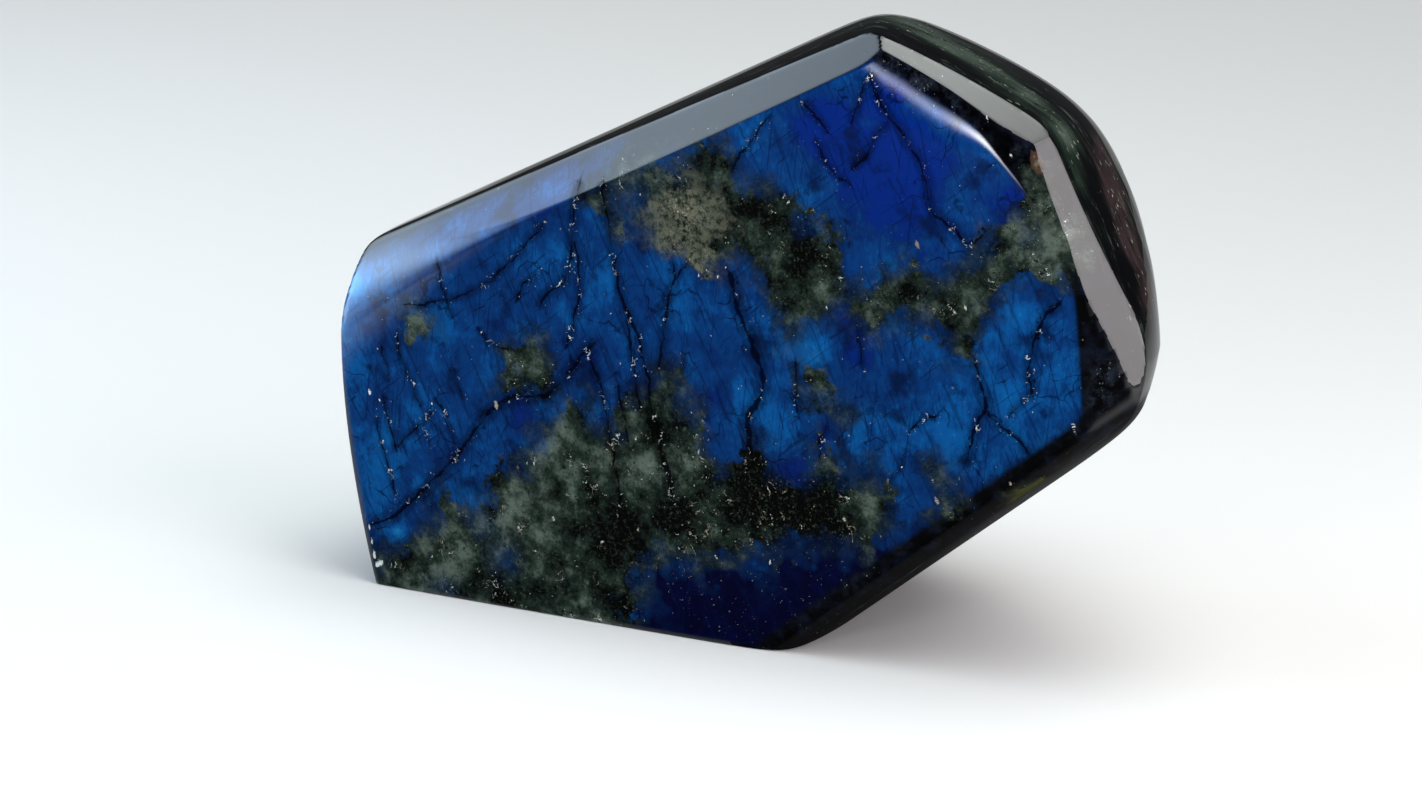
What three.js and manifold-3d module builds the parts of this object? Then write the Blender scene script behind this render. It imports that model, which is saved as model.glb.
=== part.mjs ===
// Labradorite freeform: one polished stone that stands on a flat ground across its lower edge.
//
// A lapidary starts from a smooth pebble and grinds flats on it. Here the pebble is the girdle's
// walls, which swell a little behind the face and bend inward towards a domed back. Each wall is
// a signed distance, below zero on the stone's side, and a smooth maximum of them rounds the
// pebble's edges. Plane cuts then make the broad front face, the narrow bevels round its upper
// rim and the ground that the stone stands on.
//
// Millimetres, +Z up. While the stone is shaped, its face lies in the plane y = 0, the body
// behind it at y > 0, and x = z = 0 is the heel, the face's lower left corner on the ground.
// The finished stone is moved so that the origin is the middle of its box, on the ground.

import * as THREE from 'three';
import { mergeVertices } from 'three/addons/utils/BufferGeometryUtils.js';
import Module from 'manifold-3d';

// ---- driving dimensions -------------------------------------------------------------------

// Corners of the girdle, the widest outline, as [x, z], anticlockwise from the toe to the heel.
const toe = [63.2, 0];
const chin = [111.8, 39.4];
const cheek = [111.3, 45.0];
const shoulder = [97.1, 73.9];
const peak = [70.3, 85.7];
const leftShoulder = [-2.5, 49.0];
const leftElbow = [-5.6, 38.5];
const heel = [-0.4, 0];

// The long wall on the upper left flares most behind the face, so it starts further in than the
// corners that it joins.
const topWallRight = [71.9, 82.6];
const topWallLeft = [-1.8, 47.6];

// Spare stone in front of the face and below the ground, all of it cut away.
const SPARE = 12;
const spareLeft = [heel[0], -SPARE];
const spareRight = [toe[0], -SPARE];

// The girdle's walls. flare is how fast a wall leans outward behind the face, at its two ends,
// backRadius bends it inward again towards the back, and bow is the radius of its slight crown
// along its length.
const STRAIGHT = Infinity;
const WALLS = [
  { from: toe, to: chin, flare: [0.13, 0.13], backRadius: 120, bow: STRAIGHT },
  { from: chin, to: cheek, flare: [0.04, 0.13], backRadius: 30, bow: STRAIGHT },
  { from: cheek, to: shoulder, flare: [0.32, 0.22], backRadius: 46, bow: STRAIGHT },
  { from: shoulder, to: peak, flare: [0.14, 0.09], backRadius: 58, bow: 140 },
  { from: topWallRight, to: topWallLeft, flare: [0.38, 0.25], backRadius: 48, bow: STRAIGHT },
  { from: leftShoulder, to: leftElbow, flare: [0.15, 0.15], backRadius: 55, bow: STRAIGHT },
  { from: leftElbow, to: heel, flare: [0.15, 0.15], backRadius: 55, bow: 180 },
  { from: spareLeft, to: spareRight, flare: [0, 0], backRadius: STRAIGHT, bow: STRAIGHT },
];

// The back is a broad dome, THICKNESS behind the face at its middle.
const BACK_MIDDLE = [46, 40];
const BACK_RADIUS = 150;
const THICKNESS = 50;

// How softly the walls run into each other and into the back, in millimetres. The edges between
// walls get softer towards the back, by SOFTER_BACK for each millimetre of depth.
const WALL_SOFTNESS = 0.25;
const SOFTER_BACK = 0.07;
const BACK_SOFTNESS = 5;

// Bevels between the face and the walls. lean is a bevel's angle from the face in degrees, and
// the line from - to is where its plane cuts the face's plane.
const INNER_LEAN = 20;
const OUTER_LEAN = 48;
const HIGH_LEAN = 51;
const TOP_LEAN = 38;
const CORNER_LEAN = 16;
const BEVELS = [
  { from: [103.9, 36.8], to: [102.3, 53.6], lean: INNER_LEAN },
  { from: [102.3, 53.6], to: [95.3, 66.2], lean: INNER_LEAN },
  { from: [95.3, 66.2], to: [88.5, 73.1], lean: INNER_LEAN },
  { from: [88.5, 73.1], to: [79.0, 78.1], lean: INNER_LEAN },
  { from: [12.0, 47.5], to: [-4.5, 31.5], lean: CORNER_LEAN },
  { from: [109.0, 38.3], to: [106.9, 45.1], lean: OUTER_LEAN },
  { from: [105.9, 48.2], to: [97.4, 67.3], lean: OUTER_LEAN },
  { from: [93.25, 72.6], to: [76.25, 81.5], lean: HIGH_LEAN },
  { from: [74.5, 80.4], to: [10.9, 48.0], lean: TOP_LEAN },
];

// The pebble's mesh: rays from a point inside meet the surface. Spokes run round the girdle with
// one on each corner, and rings run from the front pole to the back pole.
const INSIDE = new THREE.Vector3(52, 18, 38);
const SPOKE_STEP = THREE.MathUtils.degToRad(4);
const RINGS = 36;
const REACH = 160;
const HALVINGS = 40;
const MERGE_DISTANCE = 1e-4;
const CUT_BLOCK = 400;

const UP = new THREE.Vector3(0, 0, 1);
const DOWN = new THREE.Vector3(0, 0, -1);
const FORWARD = new THREE.Vector3(0, -1, 0);

// ---- the pebble ---------------------------------------------------------------------------

// Rounded maximum: the largest of the values, plus a little where several are nearly equal.
function smoothMax(values, softness) {
  const top = Math.max(...values);
  const sum = values.reduce((total, value) => total + Math.exp((value - top) / softness), 0);
  return top + softness * Math.log(sum);
}

// The unit direction of an outline segment, its length and its middle.
function segment({ from, to }) {
  const length = Math.hypot(to[0] - from[0], to[1] - from[1]);
  return {
    length,
    along: [(to[0] - from[0]) / length, (to[1] - from[1]) / length],
    middle: [(from[0] + to[0]) / 2, (from[1] + to[1]) / 2],
  };
}

// Distance outside one wall: outside its bowed line, less its flare, plus its bend to the back.
function outsideWall(wall, point) {
  const { length, along, middle } = segment(wall);
  const dx = point.x - middle[0];
  const dz = point.z - middle[1];
  const run = dx * along[0] + dz * along[1];
  const out = dx * along[1] - dz * along[0];
  const crown = (run * run - (length * length) / 4) / (2 * wall.bow);
  const share = THREE.MathUtils.clamp(run / length + 0.5, 0, 1);
  const flare = THREE.MathUtils.lerp(wall.flare[0], wall.flare[1], share);
  const depth = Math.max(point.y, 0);
  return out + crown - flare * depth + (depth * depth) / (2 * wall.backRadius);
}

function outsideBack(point) {
  const fall = (point.x - BACK_MIDDLE[0]) ** 2 + (point.z - BACK_MIDDLE[1]) ** 2;
  return point.y - THICKNESS + fall / (2 * BACK_RADIUS);
}

function outsidePebble(point) {
  const walls = WALLS.map((wall) => outsideWall(wall, point));
  const girdle = smoothMax(walls, WALL_SOFTNESS + SOFTER_BACK * Math.max(point.y, 0));
  const body = smoothMax([girdle, outsideBack(point)], BACK_SOFTNESS);
  return Math.max(body, -point.y - SPARE);
}

// The surface point along a ray from INSIDE, found by halving the ray.
function surfaceAlong(direction) {
  const point = new THREE.Vector3();
  let near = 0;
  let far = REACH;
  for (let step = 0; step < HALVINGS; step += 1) {
    const middle = (near + far) / 2;
    point.copy(direction).multiplyScalar(middle).add(INSIDE);
    if (outsidePebble(point) < 0) near = middle;
    else far = middle;
  }
  return point;
}

// Spoke angles round the girdle, evenly spread between one corner and the next. They run
// clockwise, as the columns of a sphere's vertices do.
function spokeAngles() {
  const corners = WALLS.map(({ from }) => Math.atan2(from[1] - INSIDE.z, from[0] - INSIDE.x));
  corners.sort((a, b) => b - a);
  corners.push(corners[0] - 2 * Math.PI);
  const angles = [];
  for (let index = 1; index < corners.length; index += 1) {
    const span = corners[index] - corners[index - 1];
    const steps = Math.ceil(Math.abs(span) / SPOKE_STEP);
    for (let step = 0; step < steps; step += 1) {
      angles.push(corners[index - 1] + (span * step) / steps);
    }
  }
  return angles;
}

// A closed geometry with only positions, its shared vertices merged.
function weld(geometry) {
  geometry.deleteAttribute('normal');
  geometry.deleteAttribute('uv');
  return mergeVertices(geometry, MERGE_DISTANCE);
}

// A sphere with its poles along y, each of whose vertices moves out to the pebble's surface.
function pebble() {
  const angles = spokeAngles();
  const geometry = new THREE.SphereGeometry(1, angles.length, RINGS);
  const positions = geometry.getAttribute('position');
  for (let ring = 0; ring <= RINGS; ring += 1) {
    const polar = (Math.PI * ring) / RINGS;
    for (let column = 0; column <= angles.length; column += 1) {
      const angle = angles[column % angles.length];
      const direction = new THREE.Vector3(
        Math.sin(polar) * Math.cos(angle),
        Math.cos(polar),
        Math.sin(polar) * Math.sin(angle),
      );
      const { x, y, z } = surfaceAlong(direction);
      positions.setXYZ(ring * (angles.length + 1) + column, x, y, z);
    }
  }
  return weld(geometry);
}

// ---- the cuts -----------------------------------------------------------------------------

// A block whose one face passes through point, square to normal, and that lies beyond it.
function blockBeyond(point, normal) {
  const block = weld(new THREE.BoxGeometry(CUT_BLOCK, CUT_BLOCK, CUT_BLOCK));
  block.translate(0, 0, CUT_BLOCK / 2);
  block.applyQuaternion(new THREE.Quaternion().setFromUnitVectors(UP, normal));
  return block.translate(point.x, point.y, point.z);
}

function bevelBlock(bevel) {
  const { along, middle } = segment(bevel);
  const lean = THREE.MathUtils.degToRad(bevel.lean);
  const point = new THREE.Vector3(middle[0], 0, middle[1]);
  const normal = new THREE.Vector3(
    Math.sin(lean) * along[1],
    -Math.cos(lean),
    -Math.sin(lean) * along[0],
  );
  return blockBeyond(point, normal);
}

const manifold = await Module();
manifold.setup();

function toSolid(geometry) {
  return new manifold.Manifold(new manifold.Mesh({
    numProp: 3,
    vertProperties: new Float32Array(geometry.getAttribute('position').array),
    triVerts: new Uint32Array(geometry.getIndex().array),
  }));
}

function toGeometry(solid) {
  const mesh = solid.getMesh();
  const geometry = new THREE.BufferGeometry();
  geometry.setAttribute('position', new THREE.BufferAttribute(mesh.vertProperties, mesh.numProp));
  geometry.setIndex(new THREE.BufferAttribute(mesh.triVerts, 1));
  return geometry;
}

// The pebble less its face, ground and bevels, moved to its origin.
function cutStone() {
  const faceBlock = blockBeyond(new THREE.Vector3(), FORWARD);
  const groundBlock = blockBeyond(new THREE.Vector3(), DOWN);
  const cuts = [faceBlock, groundBlock, ...BEVELS.map(bevelBlock)];
  const solid = cuts.reduce((rest, cut) => rest.subtract(toSolid(cut)), toSolid(pebble()));
  const geometry = toGeometry(solid);
  geometry.computeBoundingBox();
  const middle = geometry.boundingBox.getCenter(new THREE.Vector3());
  return geometry.translate(-middle.x, -middle.y, 0);
}

// ---- the part -----------------------------------------------------------------------------

const polishedStone = new THREE.MeshStandardMaterial({
  name: 'polished labradorite',
  color: 0x1b4a80,
  roughness: 0.15,
  metalness: 0.1,
});

const stone = new THREE.Mesh(cutStone(), polishedStone);
stone.name = 'labradorite_freeform';

const part = new THREE.Group();
part.add(stone);

export default part;
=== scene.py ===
# %% [markdown]
# # A labradorite freeform, ground and polished by hand
# The real object is one piece of feldspar about the size of a palm. A lapidary saws a
# slab, grinds a broad face along the layers that flash blue, breaks the sharp rim with
# narrow bevels and polishes everything. This lesson builds that stone: first its shape,
# then the marks that run through it, then the finish, the light and the camera.

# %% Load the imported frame
import math
import bpy
import numpy as np
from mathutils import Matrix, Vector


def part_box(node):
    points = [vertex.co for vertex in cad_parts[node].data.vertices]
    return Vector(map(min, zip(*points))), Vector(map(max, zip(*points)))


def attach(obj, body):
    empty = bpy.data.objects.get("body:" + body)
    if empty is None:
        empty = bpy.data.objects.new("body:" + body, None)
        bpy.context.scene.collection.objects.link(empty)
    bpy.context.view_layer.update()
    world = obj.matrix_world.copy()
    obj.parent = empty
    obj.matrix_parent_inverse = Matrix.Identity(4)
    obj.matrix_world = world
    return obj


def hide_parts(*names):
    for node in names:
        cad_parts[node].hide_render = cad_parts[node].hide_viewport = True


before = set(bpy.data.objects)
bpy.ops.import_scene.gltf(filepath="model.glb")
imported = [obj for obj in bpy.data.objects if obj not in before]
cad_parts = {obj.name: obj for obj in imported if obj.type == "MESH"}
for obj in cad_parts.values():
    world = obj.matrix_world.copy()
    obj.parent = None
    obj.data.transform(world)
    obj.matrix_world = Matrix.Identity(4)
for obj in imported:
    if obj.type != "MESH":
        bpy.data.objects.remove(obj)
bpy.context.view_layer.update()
NODE = "labradorite_freeform"
cad_low, cad_high = (np.array(corner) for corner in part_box(NODE))
MM = 0.001
print("CAD stone, mm:", np.round((cad_high - cad_low) / MM, 2))

# %% [markdown]
# ## The girdle and its walls
# The girdle is the widest outline of the stone, seen from the front. While it is shaped
# the stone lies in its workshop frame: millimetres, x to the right, z up, the face in the
# plane y = 0, the body behind it at y > 0, and x = z = 0 at the heel, where the face's
# left edge meets the ground. Each wall is written as a distance outside a line, which
# leans outward behind the face and then bends in towards the back. That is how a grinding
# wheel leaves it, and a distance is easy to round, to cut and to measure from.

# %% Corners and walls
TOE, CHIN, CHEEK, SHOULDER = (63.2, 0.0), (111.8, 39.4), (111.3, 45.0), (97.1, 73.9)
PEAK, LEFT_SHOULDER, LEFT_ELBOW = (70.3, 85.7), (-2.5, 49.0), (-5.6, 38.5)
HEEL = (-0.4, 0.0)
STRAIGHT = math.inf

# Each wall: from, to, how fast it flares behind the face at both ends, radius towards
# the back, bow. The long top wall flares most, so it starts further in than its corners.
UNDERSIDE = (TOE, CHIN, (0.13, 0.13), 120, STRAIGHT)
SIDE_WALLS = [
    (CHIN, CHEEK, (0.04, 0.13), 30, STRAIGHT),
    (CHEEK, SHOULDER, (0.32, 0.22), 46, STRAIGHT),
    (SHOULDER, PEAK, (0.14, 0.09), 58, 140),
    ((71.9, 82.6), (-1.8, 47.6), (0.38, 0.25), 48, STRAIGHT),
    (LEFT_SHOULDER, LEFT_ELBOW, (0.15, 0.15), 55, STRAIGHT),
    (LEFT_ELBOW, HEEL, (0.15, 0.15), 55, 180),
]
print(len(SIDE_WALLS) + 1, "walls round the girdle")


def beyond_line(points, start, end, bow=STRAIGHT):
    """Distance outside a line in the face's plane, whose outer side is on the right."""
    start, end = np.array(start), np.array(end)
    length = np.hypot(*(end - start))
    along = (end - start) / length
    offset = points[:, [0, 2]] - (start + end) / 2
    run = offset @ along
    out = offset[:, 0] * along[1] - offset[:, 1] * along[0]
    return out + (run ** 2 - length ** 2 / 4) / (2 * bow)


def beyond_wall(points, wall):
    start, end, flares, back_radius, bow = wall
    depth = np.maximum(points[:, 1], 0)
    share = (points[:, [0, 2]] - start) @ np.subtract(end, start) / math.dist(start, end) ** 2
    flare = np.interp(share, [0, 1], flares)
    line = beyond_line(points, start, end, bow)
    return line - flare * depth + depth ** 2 / (2 * back_radius)


# %% [markdown]
# ## The face, the bevels and the back
# The face is very slightly crowned, because polishing always takes more from the edges. A
# bevel is a narrow flat between the face and a wall: its plane cuts the face's plane in a
# line and leans away from it by an angle. The back is a broad dome. They could be cut
# from a block with booleans, but a distance to each can be rounded into its neighbours.

# %% Face, bevels and back
CROWN_MIDDLE, CROWN_RADIUS = (56, 42), 2500
BACK_MIDDLE, BACK_RADIUS, THICKNESS = (46, 40), 150, 50
INNER_LEAN, OUTER_LEAN, HIGH_LEAN, TOP_LEAN, CORNER_LEAN = 20, 48, 51, 38, 16

# Each bevel: from, to, lean from the face in degrees, bow.
INNER_BEVELS = [
    ((103.9, 36.8), (102.3, 53.6), INNER_LEAN, STRAIGHT),
    ((102.3, 53.6), (95.3, 66.2), INNER_LEAN, STRAIGHT),
    ((95.3, 66.2), (88.5, 73.1), INNER_LEAN, STRAIGHT),
    ((88.5, 73.1), (79.0, 78.1), INNER_LEAN, STRAIGHT),
    ((12.0, 47.5), (-4.5, 31.5), CORNER_LEAN, STRAIGHT),
]
OUTER_BEVELS = [
    ((105.9, 48.2), (97.4, 67.3), OUTER_LEAN, 160),
    ((93.25, 72.6), (76.25, 81.5), HIGH_LEAN, 140),
    ((74.5, 80.4), (10.9, 48.0), TOP_LEAN, STRAIGHT),
]
print(len(INNER_BEVELS), "inner bevels and", len(OUTER_BEVELS), "outer ones")


def beyond_bevel(points, bevel):
    start, end, lean, bow = bevel
    line = beyond_line(points, start, end, bow)
    lean = math.radians(lean)
    return math.sin(lean) * line - math.cos(lean) * points[:, 1]


def fall(points, middle, radius):
    """How far a dome of this radius has dropped at each point, from its middle."""
    across = points[:, [0, 2]] - middle
    return (across ** 2).sum(1) / (2 * radius)


# %% [markdown]
# ## One skin over all the flats
# A stone is inside all of its flats at once, so the largest of their distances says where
# its skin is. A bevel modifier could round the edges afterwards, but it gives an edge one
# width from end to end. A rounded maximum takes a softness that changes from place to
# place, from the crisp rim to the worn-in back. Small bites out of the edges are the
# chips at the heel and along the base.

# %% Chips and softness
# Chips, each a ball that bites into an edge: x, y, z and radius of the ball.
CHIPS = [
    (-2.9, -1.4, 6.9, 2.3), (-2.1, -1.7, 4.4, 2.2), (-2.4, -0.8, 2.2, 1.8),
    (-3.4, -0.9, 9.6, 1.9), (-1.6, -1.9, 0.6, 2.2), (9.0, -1.3, -1.5, 2.1),
    (17.5, -1.2, -1.4, 2.0), (38.5, -1.5, -1.5, 2.3), (54.0, -1.3, -1.5, 2.1),
]
FACE_SOFTNESS, RIM_SOFTNESS, JOIN_SOFTNESS = 0.22, 0.07, 0.08
LEFT_RIM_SOFTER, LEFT_JOIN_SOFTER, CORNER_SOFTER = 0.5, 0.1, 0.12
SHOULDER_TIGHTER, CORNER_ROUNDER, BRIM_ROUNDER = 0.12, 0.3, 0.22
WALL_SOFTNESS, SOFTER_BACK, BACK_SOFTNESS = 0.25, 0.07, 5
UNDERSIDE_SOFTNESS, GROUND_SOFTNESS = 1.5, 0.12
# Where each change in softness sets in or ends, in mm across the stone, or up it for HIGH.
LEFT, HIGH, TIGHT_SHOULDER = (0, 35), (18, 36), (82, 94)
BRIM_FROM, BRIM_TO = (70, 78), (84, 93)
print(len(CHIPS), "chips bitten out of the edges")


# %% The stone as one distance
def fade(values, start, end):
    """A soft step from 0 to 1 as the values pass from start to end."""
    share = np.clip((values - start) / (end - start), 0, 1)
    return share * share * (3 - 2 * share)


def soft_max(values, softness):
    top = np.max(values, axis=0)
    total = sum(np.exp((value - top) / softness) for value in values)
    return top + softness * np.log(total)


def all_flats(points):
    """The distance outside each flat, one row for each: face, bevels, walls, back, ground."""
    face = fall(points, CROWN_MIDDLE, CROWN_RADIUS) - points[:, 1]
    back = points[:, 1] - THICKNESS + fall(points, BACK_MIDDLE, BACK_RADIUS)
    bevels = [beyond_bevel(points, bevel) for bevel in INNER_BEVELS + OUTER_BEVELS]
    walls = [beyond_wall(points, wall) for wall in SIDE_WALLS + [UNDERSIDE]]
    return np.stack([face, *bevels, *walls, back, -points[:, 2]])


def beyond_stone(points):
    flats = all_flats(points)
    inner, outer = 1 + len(INNER_BEVELS), 1 + len(INNER_BEVELS) + len(OUTER_BEVELS)
    under, back, ground = flats[-3:]
    across, depth, up = points.T
    softer = SOFTER_BACK * np.maximum(depth, 0)
    left, high = 1 - fade(across, *LEFT), fade(up, *HIGH)
    rim = RIM_SOFTNESS + LEFT_RIM_SOFTER * left
    join = JOIN_SOFTNESS + left * (LEFT_JOIN_SOFTER + CORNER_SOFTER * high)
    soft = FACE_SOFTNESS - SHOULDER_TIGHTER * fade(across, *TIGHT_SHOULDER)
    soft = soft + BRIM_ROUNDER * fade(across, *BRIM_FROM) * (1 - fade(across, *BRIM_TO))
    soft = soft + CORNER_ROUNDER * left
    front = soft_max([soft_max(flats[:inner], soft), *flats[inner:outer]], rim)
    girdle = soft_max(flats[outer:-3], WALL_SOFTNESS + softer)
    upper = soft_max([front, soft_max([girdle, back], BACK_SOFTNESS)], join)
    whole = soft_max([upper, under], UNDERSIDE_SOFTNESS + softer)
    whole = soft_max([whole, ground], GROUND_SOFTNESS)
    for x, y, z, radius in CHIPS:
        whole = np.maximum(whole, radius - np.linalg.norm(points - [x, y, z], axis=1))
    return whole


# %% [markdown]
# ## A net of rays
# The skin is found along rays from a point inside the stone. Their net is a square grid
# bent into a disc for the face, rings down the walls, and a coarser disc for the back. A
# plain globe of spokes and rings would bunch its points at the middle of the face, just
# where even spacing matters most, because the stone's marks are written on the points.

# %% Net sizes and the rim
INSIDE = np.array([52.0, 18.0, 38.0])
FACE_CELLS = 236
WALL_DEPTHS = [0.4, 0.8, 1.2, 1.7, 2.2, 2.7, 3.2, 3.7, 4.2, 4.7, 5.2, 5.7, 6.2, 6.8, 7.6, 8.8,
               10.5, 12.5, 15, 18, 21.5, 25]
BACK_DEPTHS = [31, 34, 37, 40, 43, 46]
FRONT_PLANE, BACK_PLANE = 0.0, 48.0
CROWDING = 0.25
REACH = 160.0
print("INSIDE lies", round(-float(beyond_stone(INSIDE[None])[0]), 1), "mm under the skin")


def rim_radius(angles):
    """Distance from INSIDE to the girdle's outline at each angle round the face."""
    corners = [TOE, CHIN, CHEEK, SHOULDER, PEAK, LEFT_SHOULDER, LEFT_ELBOW, HEEL, TOE]
    nearest = np.full(len(angles), REACH)
    for start, end in zip(corners, corners[1:]):
        run_x, run_z = np.subtract(end, start)
        gap = (start[0] - INSIDE[0]) * run_z - (start[1] - INSIDE[2]) * run_x
        towards = np.cos(angles) * run_z - np.sin(angles) * run_x
        reach = gap / np.where(towards > 0, towards, np.nan)
        nearest = np.fmin(nearest, reach)
    return nearest


def disc_grid(cells):
    """Radius and angle of a square grid's points once the square is bent into a disc."""
    steps = np.linspace(-1, 1, cells + 1)
    across, up = np.meshgrid(steps, steps)
    side = np.abs(across) >= np.abs(up)
    radius = np.where(side, across, up)
    other = np.where(side, up, across)
    turn = math.pi / 4 * other / np.where(radius == 0, 1, radius)
    angle = np.where(side, turn, math.pi / 2 - turn)
    return np.abs(radius), angle + np.where(radius < 0, math.pi, 0)


def grid_border(cells):
    """Row and column of a square grid's border points, anticlockwise from low left."""
    n = cells
    steps = np.arange(n)
    rows = np.concatenate([0 * steps, steps, 0 * steps + n, n - steps])
    columns = np.concatenate([steps, 0 * steps + n, n - steps, 0 * steps])
    return rows, columns


# %% Discs and bands of faces
def disc_targets(cells, plane):
    radius, angle = disc_grid(cells)
    reach = radius * (1 + CROWDING - CROWDING * radius ** 2)
    reach = reach * rim_radius(angle.ravel()).reshape(angle.shape)
    x = INSIDE[0] + reach * np.cos(angle)
    z = INSIDE[2] + reach * np.sin(angle)
    return np.stack([x, np.full_like(x, plane), z], -1).reshape(-1, 3)


def disc_faces(cells, first):
    index = first + np.arange((cells + 1) ** 2).reshape(cells + 1, cells + 1)
    corners = [index[:-1, :-1], index[:-1, 1:], index[1:, 1:], index[1:, :-1]]
    return np.stack([corner.ravel() for corner in corners], 1)


def band_faces(upper, lower):
    """Quads between two closed rings with as many points each."""
    return np.stack([upper, lower, np.roll(lower, -1), np.roll(upper, -1)], 1)


# %% The whole net
def halving_faces(fine, coarse):
    """Triangles between a ring and one with half as many points."""
    even, odd, after = fine[::2], fine[1::2], np.roll(fine, -2)[::2]
    following = np.roll(coarse, -1)
    return np.concatenate([
        np.stack([even, coarse, odd], 1),
        np.stack([odd, coarse, following], 1),
        np.stack([odd, following, after], 1),
    ])


def make_net():
    targets = [disc_targets(FACE_CELLS, FRONT_PLANE)]
    quads, triangles = [disc_faces(FACE_CELLS, 0)], []
    rows, columns = grid_border(FACE_CELLS)
    ring = rows * (FACE_CELLS + 1) + columns
    rim = targets[0][ring]
    count = len(targets[0])
    for depth in WALL_DEPTHS + BACK_DEPTHS:
        if depth == BACK_DEPTHS[0]:
            rim = rim[::2]
        below = count + np.arange(len(rim))
        targets.append(rim * [1, 0, 1] + [0, depth, 0])
        if len(below) == len(ring):
            quads.append(band_faces(ring, below))
        else:
            triangles.append(halving_faces(ring, below))
        ring, count = below, count + len(rim)
    cells = FACE_CELLS // 2
    rows, columns = grid_border(cells)
    border = rows * (cells + 1) + columns
    back = disc_targets(cells, BACK_PLANE)
    inner = np.setdiff1d(np.arange(len(back)), border)
    number = np.empty(len(back), int)
    number[border], number[inner] = ring, count + np.arange(len(inner))
    targets.append(back[inner])
    quads.append(number[disc_faces(cells, 0)][:, ::-1])
    return np.concatenate(targets), np.concatenate(quads), np.concatenate(triangles)


targets, quads, triangles = make_net()
print(len(targets), "points,", 2 * len(quads) + len(triangles), "triangles")

# %% [markdown]
# ## From net to skin
# Each ray is halved until it meets the skin. A voxel remesh could find the skin too, but
# it would blur the crisp edges. Here a net point that lands beside a crisp edge is slid
# onto it and met again, so the narrow bevels keep straight borders. Where that would fold
# a face over, its points stay where they first met the skin.

# %% Meet the skin and feel its slope
INNERMOST, OUTERMOST, HALVINGS, FOLD_PASSES = 0.55, 1.7, 24, 3
SLIDE_SHARE, SHARP, STEP, LEAST_AREA, TINY = 0.45, 0.3, 0.01, 0.002, 1e-9


def meet_skin(through):
    rays = through - INSIDE
    near = np.full(len(rays), INNERMOST)
    far = np.full(len(rays), OUTERMOST)
    for _ in range(HALVINGS):
        middle = (near + far) / 2
        inside = beyond_stone(INSIDE + rays * middle[:, None]) < 0
        near, far = np.where(inside, middle, near), np.where(inside, far, middle)
    return INSIDE + rays * near[:, None]


def slopes(distance, points):
    """How fast a distance grows along x, y and z at each point."""
    here = distance(points)
    return np.stack([(distance(points + STEP * axis) - here) / STEP
                     for axis in np.eye(3)], -1)


# %% Slide points onto crisp edges
def spacing(points):
    """The shortest of each point's links to its neighbours."""
    shortest = np.full(len(points), np.inf)
    for faces in (quads, triangles):
        for start, end in zip(faces.T, np.roll(faces, -1, axis=1).T):
            link = np.linalg.norm(points[start] - points[end], axis=1)
            np.minimum.at(shortest, start, link)
            np.minimum.at(shortest, end, link)
    return shortest


def slide_to_edges(points):
    flats, towards = all_flats(points), slopes(all_flats, points)
    second, first = np.argsort(flats, axis=0)[-2:]
    column = np.arange(len(points))
    parting = towards[first, column] - towards[second, column]
    steepness = (parting ** 2).sum(1)
    lead = flats[first, column] - flats[second, column]
    slide = -(lead / np.maximum(steepness, TINY))[:, None] * parting
    close = np.linalg.norm(slide, axis=1) < SLIDE_SHARE * spacing(points)
    return points + np.where((close & (steepness > SHARP ** 2))[:, None], slide, 0)


# %% The skin, with folds undone
def unit(arrows):
    return arrows / np.linalg.norm(arrows, axis=-1, keepdims=True)


def folded(points):
    """The points of every face that has turned over or nearly closed up."""
    found = []
    for faces in (quads, triangles):
        corner = points[faces]
        ahead, behind = np.roll(corner, -1, axis=1), np.roll(corner, 1, axis=1)
        crossed = np.cross(ahead - corner, behind - corner)
        outward = unit(slopes(beyond_stone, corner.mean(1)))[:, None]
        found.append(faces[(crossed * outward).sum(-1).min(1) < LEAST_AREA].ravel())
    return np.unique(np.concatenate(found))


met = meet_skin(targets)
skin = meet_skin(slide_to_edges(met))
for _ in range(FOLD_PASSES):
    skin[folded(skin)] = met[folded(skin)]
normals = unit(slopes(beyond_stone, skin))
print("skin, mm:", np.round(skin.min(0), 2), np.round(skin.max(0), 2))

# %% [markdown]
# ## The mesh
# The finished skin moves from the workshop frame to the stone's place in the packed
# frame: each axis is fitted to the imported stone's box, so the visual stone is exactly as
# big. The skin's own slopes become its shading normals, because normals averaged from the
# faces would smear light across the bevels. Each corner of a face takes its slope from a
# spot a little inside that face, so a flat shades flat right up to a crisp edge.

# %% Build the mesh in its place
INSET = 0.3
own_low, own_high = skin.min(0), skin.max(0)
growth = (cad_high - cad_low) / (own_high - own_low)
placed = cad_low + (skin - own_low) * growth

mesh = bpy.data.meshes.new("polished_stone")
mesh.from_pydata(placed, [], quads.tolist() + triangles.tolist())
mesh.polygons.foreach_set("use_smooth", np.ones(len(mesh.polygons), bool))
corners = [skin[faces] * (1 - INSET) + skin[faces].mean(1, keepdims=True) * INSET
           for faces in (quads, triangles)]
corners = np.concatenate([block.reshape(-1, 3) for block in corners])
mesh.normals_split_custom_set(unit(slopes(beyond_stone, corners)))
stone = bpy.data.objects.new("polished_stone", mesh)
bpy.context.scene.collection.objects.link(stone)
euler = len(mesh.vertices) - len(mesh.edges) + len(mesh.polygons)
print("grown by:", np.round(growth / MM, 4))
print("mesh needed no repair:", not mesh.validate(), "closed:", euler == 2)

# %% [markdown]
# ## Where the stone doesn't flash
# The blue is broken by patches of dull green rock, each with its own outline. An outline
# is drawn as a ring of points, and every point of the skin is told how far inside the
# nearest outline it lies. A distance can be blurred, made ragged or thresholded later in
# the material, which a painted mask can't.

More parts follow.
